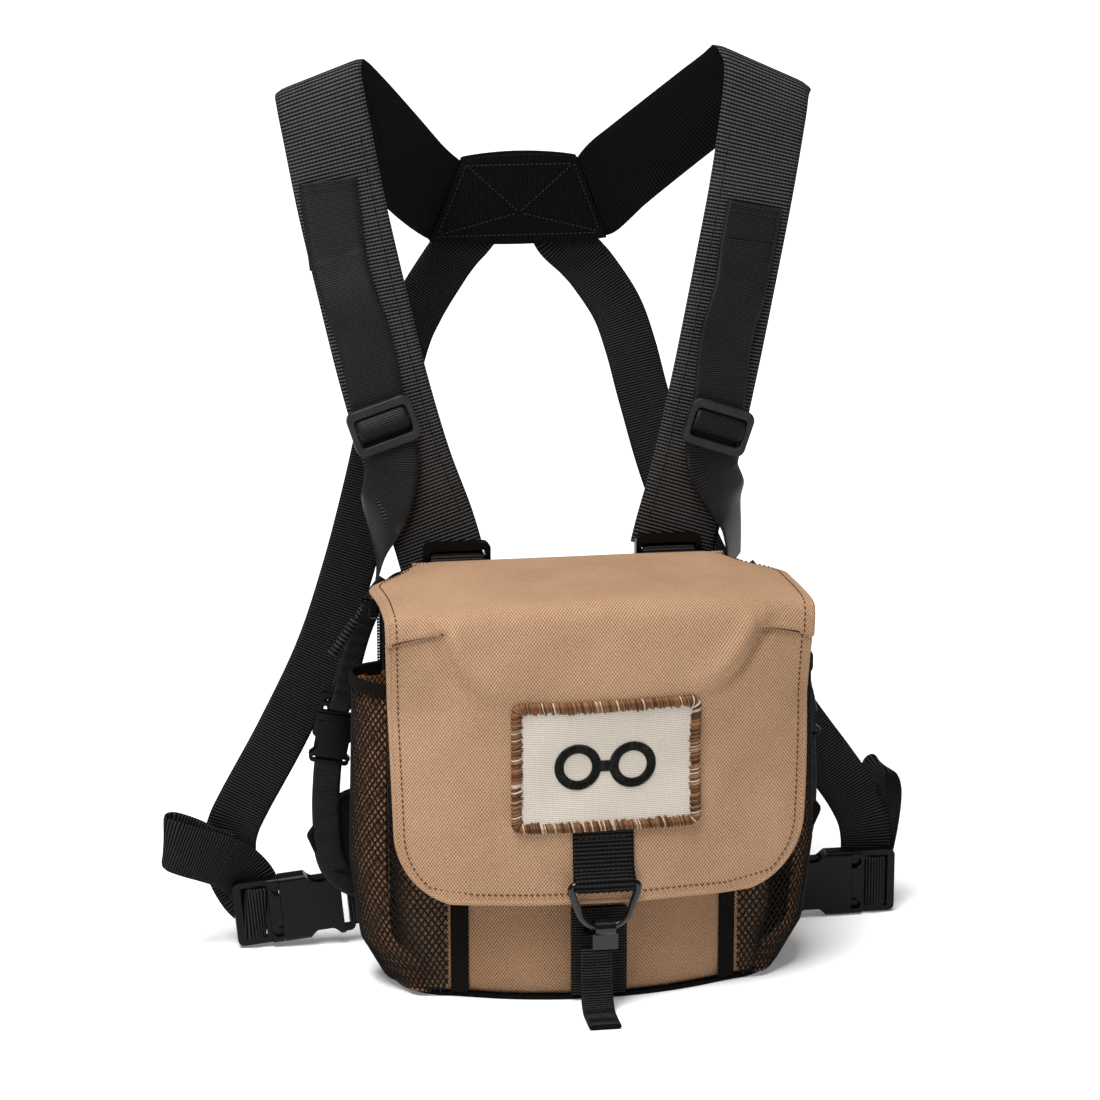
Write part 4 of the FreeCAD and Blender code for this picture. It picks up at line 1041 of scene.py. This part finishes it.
def build_tethers():
    for side, name in SIDES:
        def at(x, y, z, a=-0.96, c=0.25):
            return ((-side * x, y, z), (-side * a, 0, c))
        upper = [at(-84, 41.2, 178, -0.9, 0.44), at(-91, 41.2, 168, -0.88, 0.47),
                 at(-97, 41.4, 154, -0.95, 0.3), at(-101.2, 41.0, 140),
                 at(-103.9, 39.8, 130, -0.97, 0.2), at(-105.6, 38.8, 124.5, -0.97, 0.2),
                 at(-107.0, 38.4, 120.2, -0.97, 0.2), at(-107.9, 40.2, 117.4, -0.97, 0.2),
                 at(-107.8, 43.4, 118.6, -0.97, 0.2), at(-106.4, 43.8, 124, -0.97, 0.2),
                 at(-104.4, 43.0, 131, -0.97, 0.2), at(-101.9, 42.8, 140)]
        strap_piece("tether_" + name, upper, 10.0, 1.0, (1.2, 0.16), FINE,
                    ("pack", "tether_buckle_male_" + name, (side * 97, 41, 154),
                     (side * 104.3, 41, 128)), ("tether_upper_" + name,))
        lower = [at(-111.6, 43.6, 95.5, -1, 0.12), at(-112.4, 41.4, 94.2, -1, 0.12),
                 at(-113.0, 40.4, 91.4, -1, 0.1), at(-113.6, 41.0, 84, -1, 0.05),
                 at(-114.2, 41.2, 72, -1, 0.02), at(-113.9, 41.4, 58, -1, -0.03),
                 at(-113.0, 41.9, 47, -1, -0.12), at(-109.6, 42.8, 38.6, -0.88, -0.48),
                 at(-104.0, 44.0, 33.0, -0.68, -0.73), at(-98.0, 45.4, 29.4, -0.52, -0.85)]
        strap_piece("tether_low_" + name, lower, 13.0, 1.0, (1.1, 0.14), FINE, "pack",
                    ("tether_lowers",) if side < 0 else ())


def build_top_links():
    for x, name in ((-51.2, "left"), (48.2, "right")):
        lean = -0.27 if x < 0 else 0.2
        link = [((x + lean * 26, 53.6, 208), (0.98, 0, -lean)),
                ((x + lean * 18, 53.6, 200), (0.98, 0, -lean))]
        link += level((x + lean * 6, 53.2, 192), (x, 49.4, 188.8), (x, 43.6, 188.0),
                      (x, 41.7, 185.6), (x, 42.6, 182.6), (x, 46.4, 181.4), (x, 49.6, 181.2),
                      (x, 53.0, 183.6))
        strap_piece("strap_loop_" + name, link, 24.8, 1.3, (1.2, 0.12), WEB,
                    ("pack", "top_buckle_male_" + name, (x, 48, 204), (x, 46, 190)),
                    ("strap_link_" + name,))
        anchor = level(*[(x, y, z) for y, z in (
            (41.5, 112), (41.5, 126), (41.7, 137), (42.8, 141.2), (45.6, 142.6), (48.7, 140.8),
            (48.6, 136.6), (45.6, 132.4), (43.4, 124), (43.2, 115))])
        strap_piece("anchor_loop_" + name, anchor, 25.0, 1.3, (1.3, 0.14), WEB, "pack",
                    ("top_anchors",) if x < 0 else ())


# ---------------------------------------------------------------- harness
STRAP_LEFT = [
    ((-57.0, 51.5, 184), (-0.96, 0, -0.28)), ((-62.5, 51.5, 203), (-0.945, 0, -0.33)),
    ((-73.2, 51.5, 233), (-0.955, 0, -0.30)), ((-84.0, 52, 272), (-0.97, 0, -0.23)),
    ((-93.2, 53, 312), (-0.98, 0, -0.18)), ((-101.6, 54.5, 351), (-0.978, 0, -0.207)),
    ((-107.2, 55.8, 382), (-0.96, 0.03, -0.28)), ((-109.8, 57.4, 397.0), (-0.945, 0.07, -0.32)),
    ((-110.5, 60.8, 404.6), (-0.935, 0.11, -0.345)), ((-109.1, 65.6, 407.4), (-0.93, 0.14, -0.365)),
    ((-105.6, 71.0, 405.1), (-0.92, 0.14, -0.385)), ((-97.4, 80.0, 396.4), (-0.89, 0.11, -0.43)),
    ((-78.2, 100.5, 374.2), (-0.75, 0.05, -0.66)), ((-57.8, 125, 351.6), (-0.50, 0.06, -0.86)),
    ((-43, 142.6, 338.8), (-0.38, 0.11, -0.92)), ((-34, 143.0, 335.2), (-0.38, 0.11, -0.92))]
STRAP_RIGHT = [
    ((50.8, 51.5, 184), (0.96, 0, -0.28)), ((54.0, 51.5, 197), (0.95, 0, -0.31)),
    ((62.2, 52.5, 226), (0.955, 0, -0.30)), ((72.0, 55.5, 268), (0.97, 0, -0.23)),
    ((81.6, 60, 312), (0.98, 0, -0.19)), ((89.6, 64, 350), (0.98, 0, -0.20)),
    ((94.8, 66.6, 380), (0.955, -0.06, -0.29)), ((97.2, 68.6, 396.2), (0.93, -0.12, -0.35)),
    ((97.9, 72.2, 404.2), (0.915, -0.16, -0.38)), ((96.5, 77.0, 407.2), (0.90, -0.19, -0.40)),
    ((93.0, 82.4, 405.2), (0.885, -0.19, -0.42)), ((83.2, 92.8, 395.0), (0.83, -0.12, -0.53)),
    ((62.6, 110.4, 374.6), (0.68, 0, -0.73)), ((42.2, 129.6, 353.4), (0.48, 0.07, -0.87)),
    ((29.8, 142.6, 338.8), (0.38, 0.11, -0.92)), ((20.8, 143.0, 335.2), (0.38, 0.11, -0.92))]
LOWER_LEFT = [
    ((-22, 148.8, 331), (-0.76, 0, 0.65)), ((-29, 149.6, 321), (-0.76, 0, 0.65)),
    ((-36, 149.4, 313.5), (-0.79, 0, 0.61)), ((-43, 146.5, 305), (-0.80, 0, 0.60)),
    ((-55.4, 137, 289), (-0.83, 0, 0.55)),
    ((-64.7, 127, 273), (-0.87, 0, 0.48)), ((-76, 112, 240), (-0.91, 0, 0.41)),
    ((-85.5, 100, 208), (-0.93, 0, 0.37)), ((-97, 88, 173), (-0.93, 0, 0.37)),
    ((-111.5, 76, 137), (-0.90, 0, 0.43)), ((-131.3, 66, 101), (-0.86, 0, 0.50)),
    ((-150.4, 58.7, 70.0), (-0.84, 0, 0.54)), ((-156.6, 58.0, 57.0), (-0.95, 0, 0.30)),
    ((-158.2, 58.4, 46.0), (-1, 0, 0.0)), ((-156.4, 58.6, 35.0), (-0.97, 0, -0.24)),
    ((-152.0, 57.8, 26.0), (-0.9, 0, -0.42)), ((-147.4, 56.6, 20.6), (-0.8, 0, -0.6))]
LOWER_RIGHT = [
    ((10, 148.8, 331), (0.93, 0, 0.35)), ((14, 149.6, 319), (0.93, 0, 0.37)),
    ((24, 149.0, 309), (0.91, 0, 0.40)), ((31.5, 146.5, 300), (0.90, 0, 0.42)),
    ((41.3, 141, 284), (0.94, 0, 0.33)),
    ((46.8, 133, 266), (0.96, 0, 0.25)), ((52, 124, 242), (0.98, 0, 0.19)),
    ((61, 110, 206), (0.95, 0, 0.31)), ((76, 95, 167), (0.90, 0, 0.43)),
    ((97, 82, 128), (0.84, 0, 0.54)), ((116, 74, 96), (0.79, 0, 0.61)),
    ((133.4, 66.2, 71.4), (0.82, 0, 0.57)), ((142.6, 62.6, 57.5), (0.87, -0.2, 0.45)),
    ((148.2, 60.0, 46.0), (0.96, -0.22, 0.18)), ((150.0, 58.6, 36.0), (0.99, -0.1, 0.0)),
    ((149.6, 57.2, 24.0), (1, 0, -0.06))]
ADJUSTER_LEFT = [
    ((-105.4, 51.3, 338), (-0.975, 0, -0.2)), ((-103.0, 49.9, 324), (-0.97, 0, -0.24)),
    ((-99.2, 48.0, 309), (-0.96, 0, -0.28)),
    ((-92.0, 48.6, 288), (-0.95, 0, -0.30)), ((-87.6, 48.4, 264), (-0.95, 0, -0.32)),
    ((-84.3, 48.4, 250), (-0.95, 0, -0.32)), ((-80.9, 48.3, 239), (-0.95, 0, -0.32)),
    ((-80.9, 47.8, 228), (-0.95, 0.2, -0.2)), ((-83.0, 49.7, 214), (-0.88, 0.45, -0.1)),
    ((-85.0, 54.2, 203), (-0.6, 0.8, 0)), ((-86.2, 57.2, 192), (-0.2, 0.98, 0)),
    ((-86.6, 59.0, 177), (0.165, 0.986, 0))]
ADJUSTER_RIGHT = [
    ((86.6, 57.8, 329), (0.97, 0, -0.22)), ((85.0, 56.2, 318), (0.97, 0, -0.24)),
    ((82.2, 52.6, 305), (0.96, 0, -0.27)),
    ((76.0, 51.4, 284), (0.95, 0, -0.30)), ((73.2, 49.4, 258), (0.95, 0, -0.32)),
    ((71.2, 49.2, 243.7), (0.95, 0, -0.32)), ((69.4, 48.9, 231), (0.95, 0, -0.32)),
    ((71.0, 48.2, 221), (0.94, 0.22, -0.2)), ((76.4, 50.4, 211), (0.86, 0.5, -0.1)),
    ((79.8, 54.2, 201), (0.6, 0.8, 0)), ((81.8, 56.8, 190), (0.5, 0.87, 0)),
    ((82.5, 58.0, 177), (0.46, 0.89, 0))]
SLEEVE_LEFT = [((-107.8, 52.3, 362), (-0.98, 0, -0.19)), ((-105.8, 51.3, 343), (-0.98, 0, -0.19)),
               ((-103.6, 50.2, 323), (-0.975, 0, -0.2))]
SLEEVE_RIGHT = [((91.2, 60.9, 345), (0.98, 0, -0.19)), ((88.2, 58.9, 331), (0.975, 0, -0.2)),
                ((85.0, 56.6, 317), (0.97, 0, -0.22))]


def build_straps():
    for name, line in (("left", STRAP_LEFT), ("right", STRAP_RIGHT)):
        strap = strap_piece("shoulder_webbing_" + name, line, STRAP_WIDTH, 2.0, (1.65, 0.24), STRAP,
                            "pack", ("shoulder_strap_" + name,), skew=True)
        # The inner face of each strap gets the darker copy of the webbing, which is painted shade.
        strap.data.materials.append(STRAP_SHADED)
        around = len(webbing_profile(STRAP_WIDTH, 2.0))
        for face in strap.data.polygons:
            in_front = face.index % around < around // 2 - 1
            face.material_index = int(in_front != (name == "left"))
    for name, line, start, end in (("left", LOWER_LEFT, (-152, 58, 66), (-151, 55, 24)),
                                   ("right", LOWER_RIGHT, (136, 65, 67), (150, 55, 24))):
        strap_piece("lower_webbing_" + name, line, WEBBING, 1.3, (1.3, 0.13), WEB,
                    ("pack", "side_buckle_male_" + name, start, end),
                    ("lower_strap_" + name, "strap_end_" + name))
    for name, line in (("left", ADJUSTER_LEFT), ("right", ADJUSTER_RIGHT)):
        strap_piece("adjuster_" + name, line, WEBBING, 1.2, (1.0, 0.09), FINE, "pack",
                    ("adjuster_webbing_" + name,))
    for name, line in (("left", SLEEVE_LEFT), ("right", SLEEVE_RIGHT)):
        sleeve = webbing("sleeve_" + name, line, WEBBING + 1.4, 1.5, (1.0, 0.09), FINE, "pack",
                         ("strap_sleeves",) if name == "left" else ())
        at, centre, across, out = route(line, 0.6)
        face = out * (1 if out[0][1] < 0 else -1)
        rows = []
        for share in (-0.46, 0.46):
            edge = centre + across * WEBBING * share + face * 0.95
            rows.append(stitches(edge, face, 2.0, 1.5, 0.3))
        for row in (2, 7):
            cross = centre[row] + across[row] * np.linspace(-0.46, 0.46, 20)[:, None] * WEBBING
            rows.append(stitches(cross + face[row] * 0.95, np.broadcast_to(face[row], (20, 3)),
                                 2.0, 1.5, 0.3))
        seam = piece("sleeve_seam_" + name, merged(rows), THREAD, "pack")
    for name, line in (("left", STRAP_LEFT), ("right", STRAP_RIGHT)):
        at, centre, across, out = route(line[1:7], 0.8)
        face = out * (1 if out[0][1] < 0 else -1)
        row = stitches(centre - across * 14.5 + face * 1.2, face, 2.3, 1.6, 0.32)
        piece("strap_seam_" + name, row, THREAD, "pack")


def build_slider_wraps():
    """Webbing over each slider's centre bar."""
    for name, centre, tilt in (("left", (-84.6, 47.0, 250.0), -18.5),
                               ("right", (71.6, 47.6, 243.7), 18.5)):
        a = math.radians(tilt)
        right, up = np.array([math.cos(a), 0, -math.sin(a)]), np.array([math.sin(a), 0, math.cos(a)])
        line = [(np.array(centre) + up * t + np.array([0, y, 0]), right)
                for t, y in ((6.9, 0.8), (6.5, -0.8), (5.0, -2.6), (1.6, -3.9), (-1.6, -3.8),
                             (-3.6, -2.4), (-4.2, -0.6), (-4.2, 0.8))]
        strap_piece("slider_wrap_" + name, line, 24.4, 1.1, (1.0, 0.09), FINE, "slider_" + name,
                    ())


def build_yoke():
    centre, lean = np.array([-6.7, 142.5, 338.5]), math.radians(6.9)

    def placed(x, y, z):
        return np.stack([centre[0] + x,
                         centre[1] + y * math.cos(lean) - z * math.sin(lean),
                         centre[2] + y * math.sin(lean) + z * math.cos(lean)], -1)

    rows = np.linspace(20.5, -20.0, 48)
    t = np.linspace(-1, 1, 71)
    half = np.interp(rows, (-20.0, 20.5), (43.2, 27.8))
    x = half[:, None] * t[None]
    bow = np.interp(rows, (-20, -14, 14, 20.5), (-1.8, 0, 0, 2.2))
    z = rows[:, None] + bow[:, None] * (1 - t[None] ** 2)
    edge = np.exp(-np.minimum((1 - np.abs(t[None])) * half[:, None], 99) / 2.5)
    for offset, layer, sign in ((-3.2, "front", 1), (3.1, "rear", -1)):
        y = offset - sign * 0.25 * np.cos(x / 12) + sign * 0.9 * edge
        grid = placed(x, y, z)
        if sign < 0:
            grid = grid[::-1]
        cloth = piece("yoke_" + layer, slab(grid, 1.4), PLATE, "pack",
                      ("yoke",) if sign > 0 else ())
        lines = []
        for a, b in (((-25, 17), (0, -6)), ((25, 17), (0, -6)), ((-38, -16), (0, -6)),
                     ((38, -16), (0, -6)), ((-26, 17.6), (26, 17.6)), ((-39.5, -17), (39.5, -17)),
                     ((-26, 17.6), (-39.5, -17)), ((26, 17.6), (39.5, -17))):
            share = np.linspace(0, 1, 40)
            px, pz = a[0] + (b[0] - a[0]) * share, a[1] + (b[1] - a[1]) * share
            line = placed(px, np.full(40, offset - sign * 0.55), pz)
            out = placed(px, np.full(40, offset - sign * 1.55), pz) - line
            lines.append(stitches(line, out, 2.2, 1.7, 0.34))
        seam = piece("yoke_seams_" + layer, merged(lines), THREAD, "pack")


def build_strap_ends():
    left_tail = [((-146.0, 57.0, 24.0), (0.5, 0, 0.86)), ((-149.4, 56.8, 31.0), (0.5, 0, 0.86)),
                 ((-154.6, 54.8, 37.4), (0.5, 0, 0.86)), ((-160.6, 50.8, 42.4), (0.42, 0, 0.9)),
                 ((-168.4, 47.0, 46.8), (0.3, 0, 0.95)), ((-177.2, 44.8, 50.6), (0.2, 0, 0.98)),
                 ((-184.6, 45.0, 53.6), (0.1, 0, 1)), ((-188.8, 48.8, 55.2), (0.05, 0, 1)),
                 ((-186.0, 53.4, 55.4), (0.05, 0, 1)), ((-177.6, 53.6, 52.4), (0.15, 0, 0.98)),
                 ((-168.4, 51.4, 48.2), (0.25, 0, 0.96)), ((-161.4, 52.6, 44.8), (0.35, 0, 0.93))]
    right_tail = [((161.8, 68.5, 27.0), (-0.05, 1, 0)), ((162.2, 66.6, 36.0), (-0.1, 0.99, 0.03)),
                  ((162.6, 65.0, 45.0), (-0.15, 0.98, 0.05)), ((162.9, 64.6, 54.0), (-0.2, 0.97, 0.06)),
                  ((162.7, 64.8, 61.6), (-0.22, 0.97, 0.06)), ((161.2, 65.2, 67.0), (-0.22, 0.97, 0.06)),
                  ((158.2, 65.4, 69.4), (-0.22, 0.97, 0.06)), ((155.4, 65.6, 67.0), (-0.22, 0.97, 0.06)),
                  ((154.3, 65.8, 61.6), (-0.2, 0.97, 0.06)), ((154.6, 66.0, 56.0), (-0.2, 0.97, 0.06))]
    for name, tail in (("left", left_tail), ("right", right_tail)):
        strap_piece("strap_tail_" + name, tail, WEBBING - 0.2, 1.3, (1.3, 0.13), WEB,
                    "side_buckle_male_" + name, ())
    at, centre, across, out = route(left_tail, 0.5)
    row = int(np.argmin(np.abs(centre[:len(centre) // 2, 0] + 161.5)))
    line = centre[row] + across[row] * np.linspace(-11.6, 11.6, 24)[:, None]
    face = out[row] * (1 if out[row][1] < 0 else -1)
    piece("strap_tail_seam", stitches(line + face * 0.9, face, 1.9, 1.5, 0.34), THREAD,
          "side_buckle_male_left")

    # Webbing over the middle bar of each ladder.
    for side, name in SIDES:
        line = beside_buckle(side, ((19.6, 55.4), (18.0, 53.6), (17.2, 50.6), (16.0, 48.4),
                                    (13.1, 47.5), (9.8, 47.8), (7.6, 49.2), (6.8, 51.6),
                                    (6.6, 54.6)), -side)
        strap_piece("ladder_wrap_" + name, line, WEBBING - 0.4, 1.2, (1.3, 0.16), WEB,
                    "side_buckle_male_" + name, ())


# ---------------------------------------------------------------- hardware from the frame
def dress(node, material, bevel=0.45):
    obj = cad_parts[node]
    for slot in obj.material_slots:
        slot.material = material
    if not obj.material_slots:
        obj.data.materials.append(material)
    if bevel:
        soften = obj.modifiers.new("moulded_edges", "BEVEL")
        soften.width, soften.segments = bevel * MM, 3
        soften.limit_method, soften.angle_limit = "ANGLE", math.radians(35)
        soften.harden_normals = False


def build_hardware():
    for side in ("left", "right"):
        for node in ("side_buckle_female_", "side_buckle_male_", "side_prong_upper_",
                     "side_prong_lower_", "top_buckle_male_"):
            dress(node + side, PLASTIC, 0.5)
        dress("tether_buckle_male_" + side, PLASTIC, 0.3)
        dress("slider_" + side, GREY, 0.4)
    dress("top_buckle_females", PLASTIC, 0.5)
    dress("tether_buckle_females", PLASTIC, 0.3)
    dress("closure_hook", METAL, 1.4)
    dress("closure_catch", METAL, 0.4)
    dress("zip_slider", METAL, 0.5)


# ---------------------------------------------------------------- floor, light and camera
def build_stage():
    white = Shader("floor_paper", 0.9, Specular_IOR_Level=0.1)
    white.bsdf.inputs["Emission Color"].default_value = (1, 1, 1, 1)
    white.bsdf.inputs["Emission Strength"].default_value = 0.16
    white.finish(white.mix(white.noise(4, 2), rgb(250, 250, 250), rgb(255, 255, 255)))
    mesh = bpy.data.meshes.new("floor")
    size = 8.0
    mesh.from_pydata([(-size, -size, 0), (size, -size, 0), (size, size, 0), (-size, size, 0)],
                     [], [(0, 1, 2, 3)])
    mesh.materials.append(white.mat)
    floor = bpy.data.objects.new("floor", mesh)
    bpy.context.scene.collection.objects.link(floor)

    scene = bpy.context.scene
    world = bpy.data.worlds.new("studio")
    scene.world = world
    world.use_nodes = True
    world.node_tree.nodes["Background"].inputs[0].default_value = (1, 1, 1, 1)
    world.node_tree.nodes["Background"].inputs[1].default_value = 0.12
    scene.view_settings.view_transform = "Standard"
    aim = Vector((-0.018, 0.0, 0.18))
    sun = bpy.data.lights.new("sky", "SUN")
    sun.energy, sun.angle = 3.5, math.radians(30)
    lamp = bpy.data.objects.new("sky", sun)
    lamp.rotation_euler = (math.radians(17), 0, math.radians(-40))
    scene.collection.objects.link(lamp)
    key = bpy.data.lights.new("key", "AREA")
    key.energy, key.size = 2.0, 0.25
    lamp = bpy.data.objects.new("key", key)
    lamp.location = (-0.24, -0.36, 0.62)
    lamp.rotation_euler = (aim - lamp.location).to_track_quat("-Z", "Y").to_euler()
    scene.collection.objects.link(lamp)

    azimuth, elevation = math.radians(-9.5), math.radians(14.0)
    target, distance = Vector((-0.0185, -0.020, 0.205)), 1.6
    back = Vector((math.sin(azimuth) * math.cos(elevation),
                   -math.cos(azimuth) * math.cos(elevation), math.sin(elevation)))
    camera = bpy.data.cameras.new("camera")
    camera.lens, camera.sensor_width = 117.67, 36.0
    eye = bpy.data.objects.new("camera", camera)
    eye.location = target + back * distance
    eye.rotation_euler = (-back).to_track_quat("-Z", "Y").to_euler()
    scene.collection.objects.link(eye)
    scene.camera = eye


bag_walls = build_bag()
build_pad()
build_pockets()
build_lid()
build_patch()
build_closure()
build_zip()
build_wings()
build_tethers()
build_top_links()
build_straps()
build_slider_wraps()
build_yoke()
build_strap_ends()
build_hardware()
build_stage()
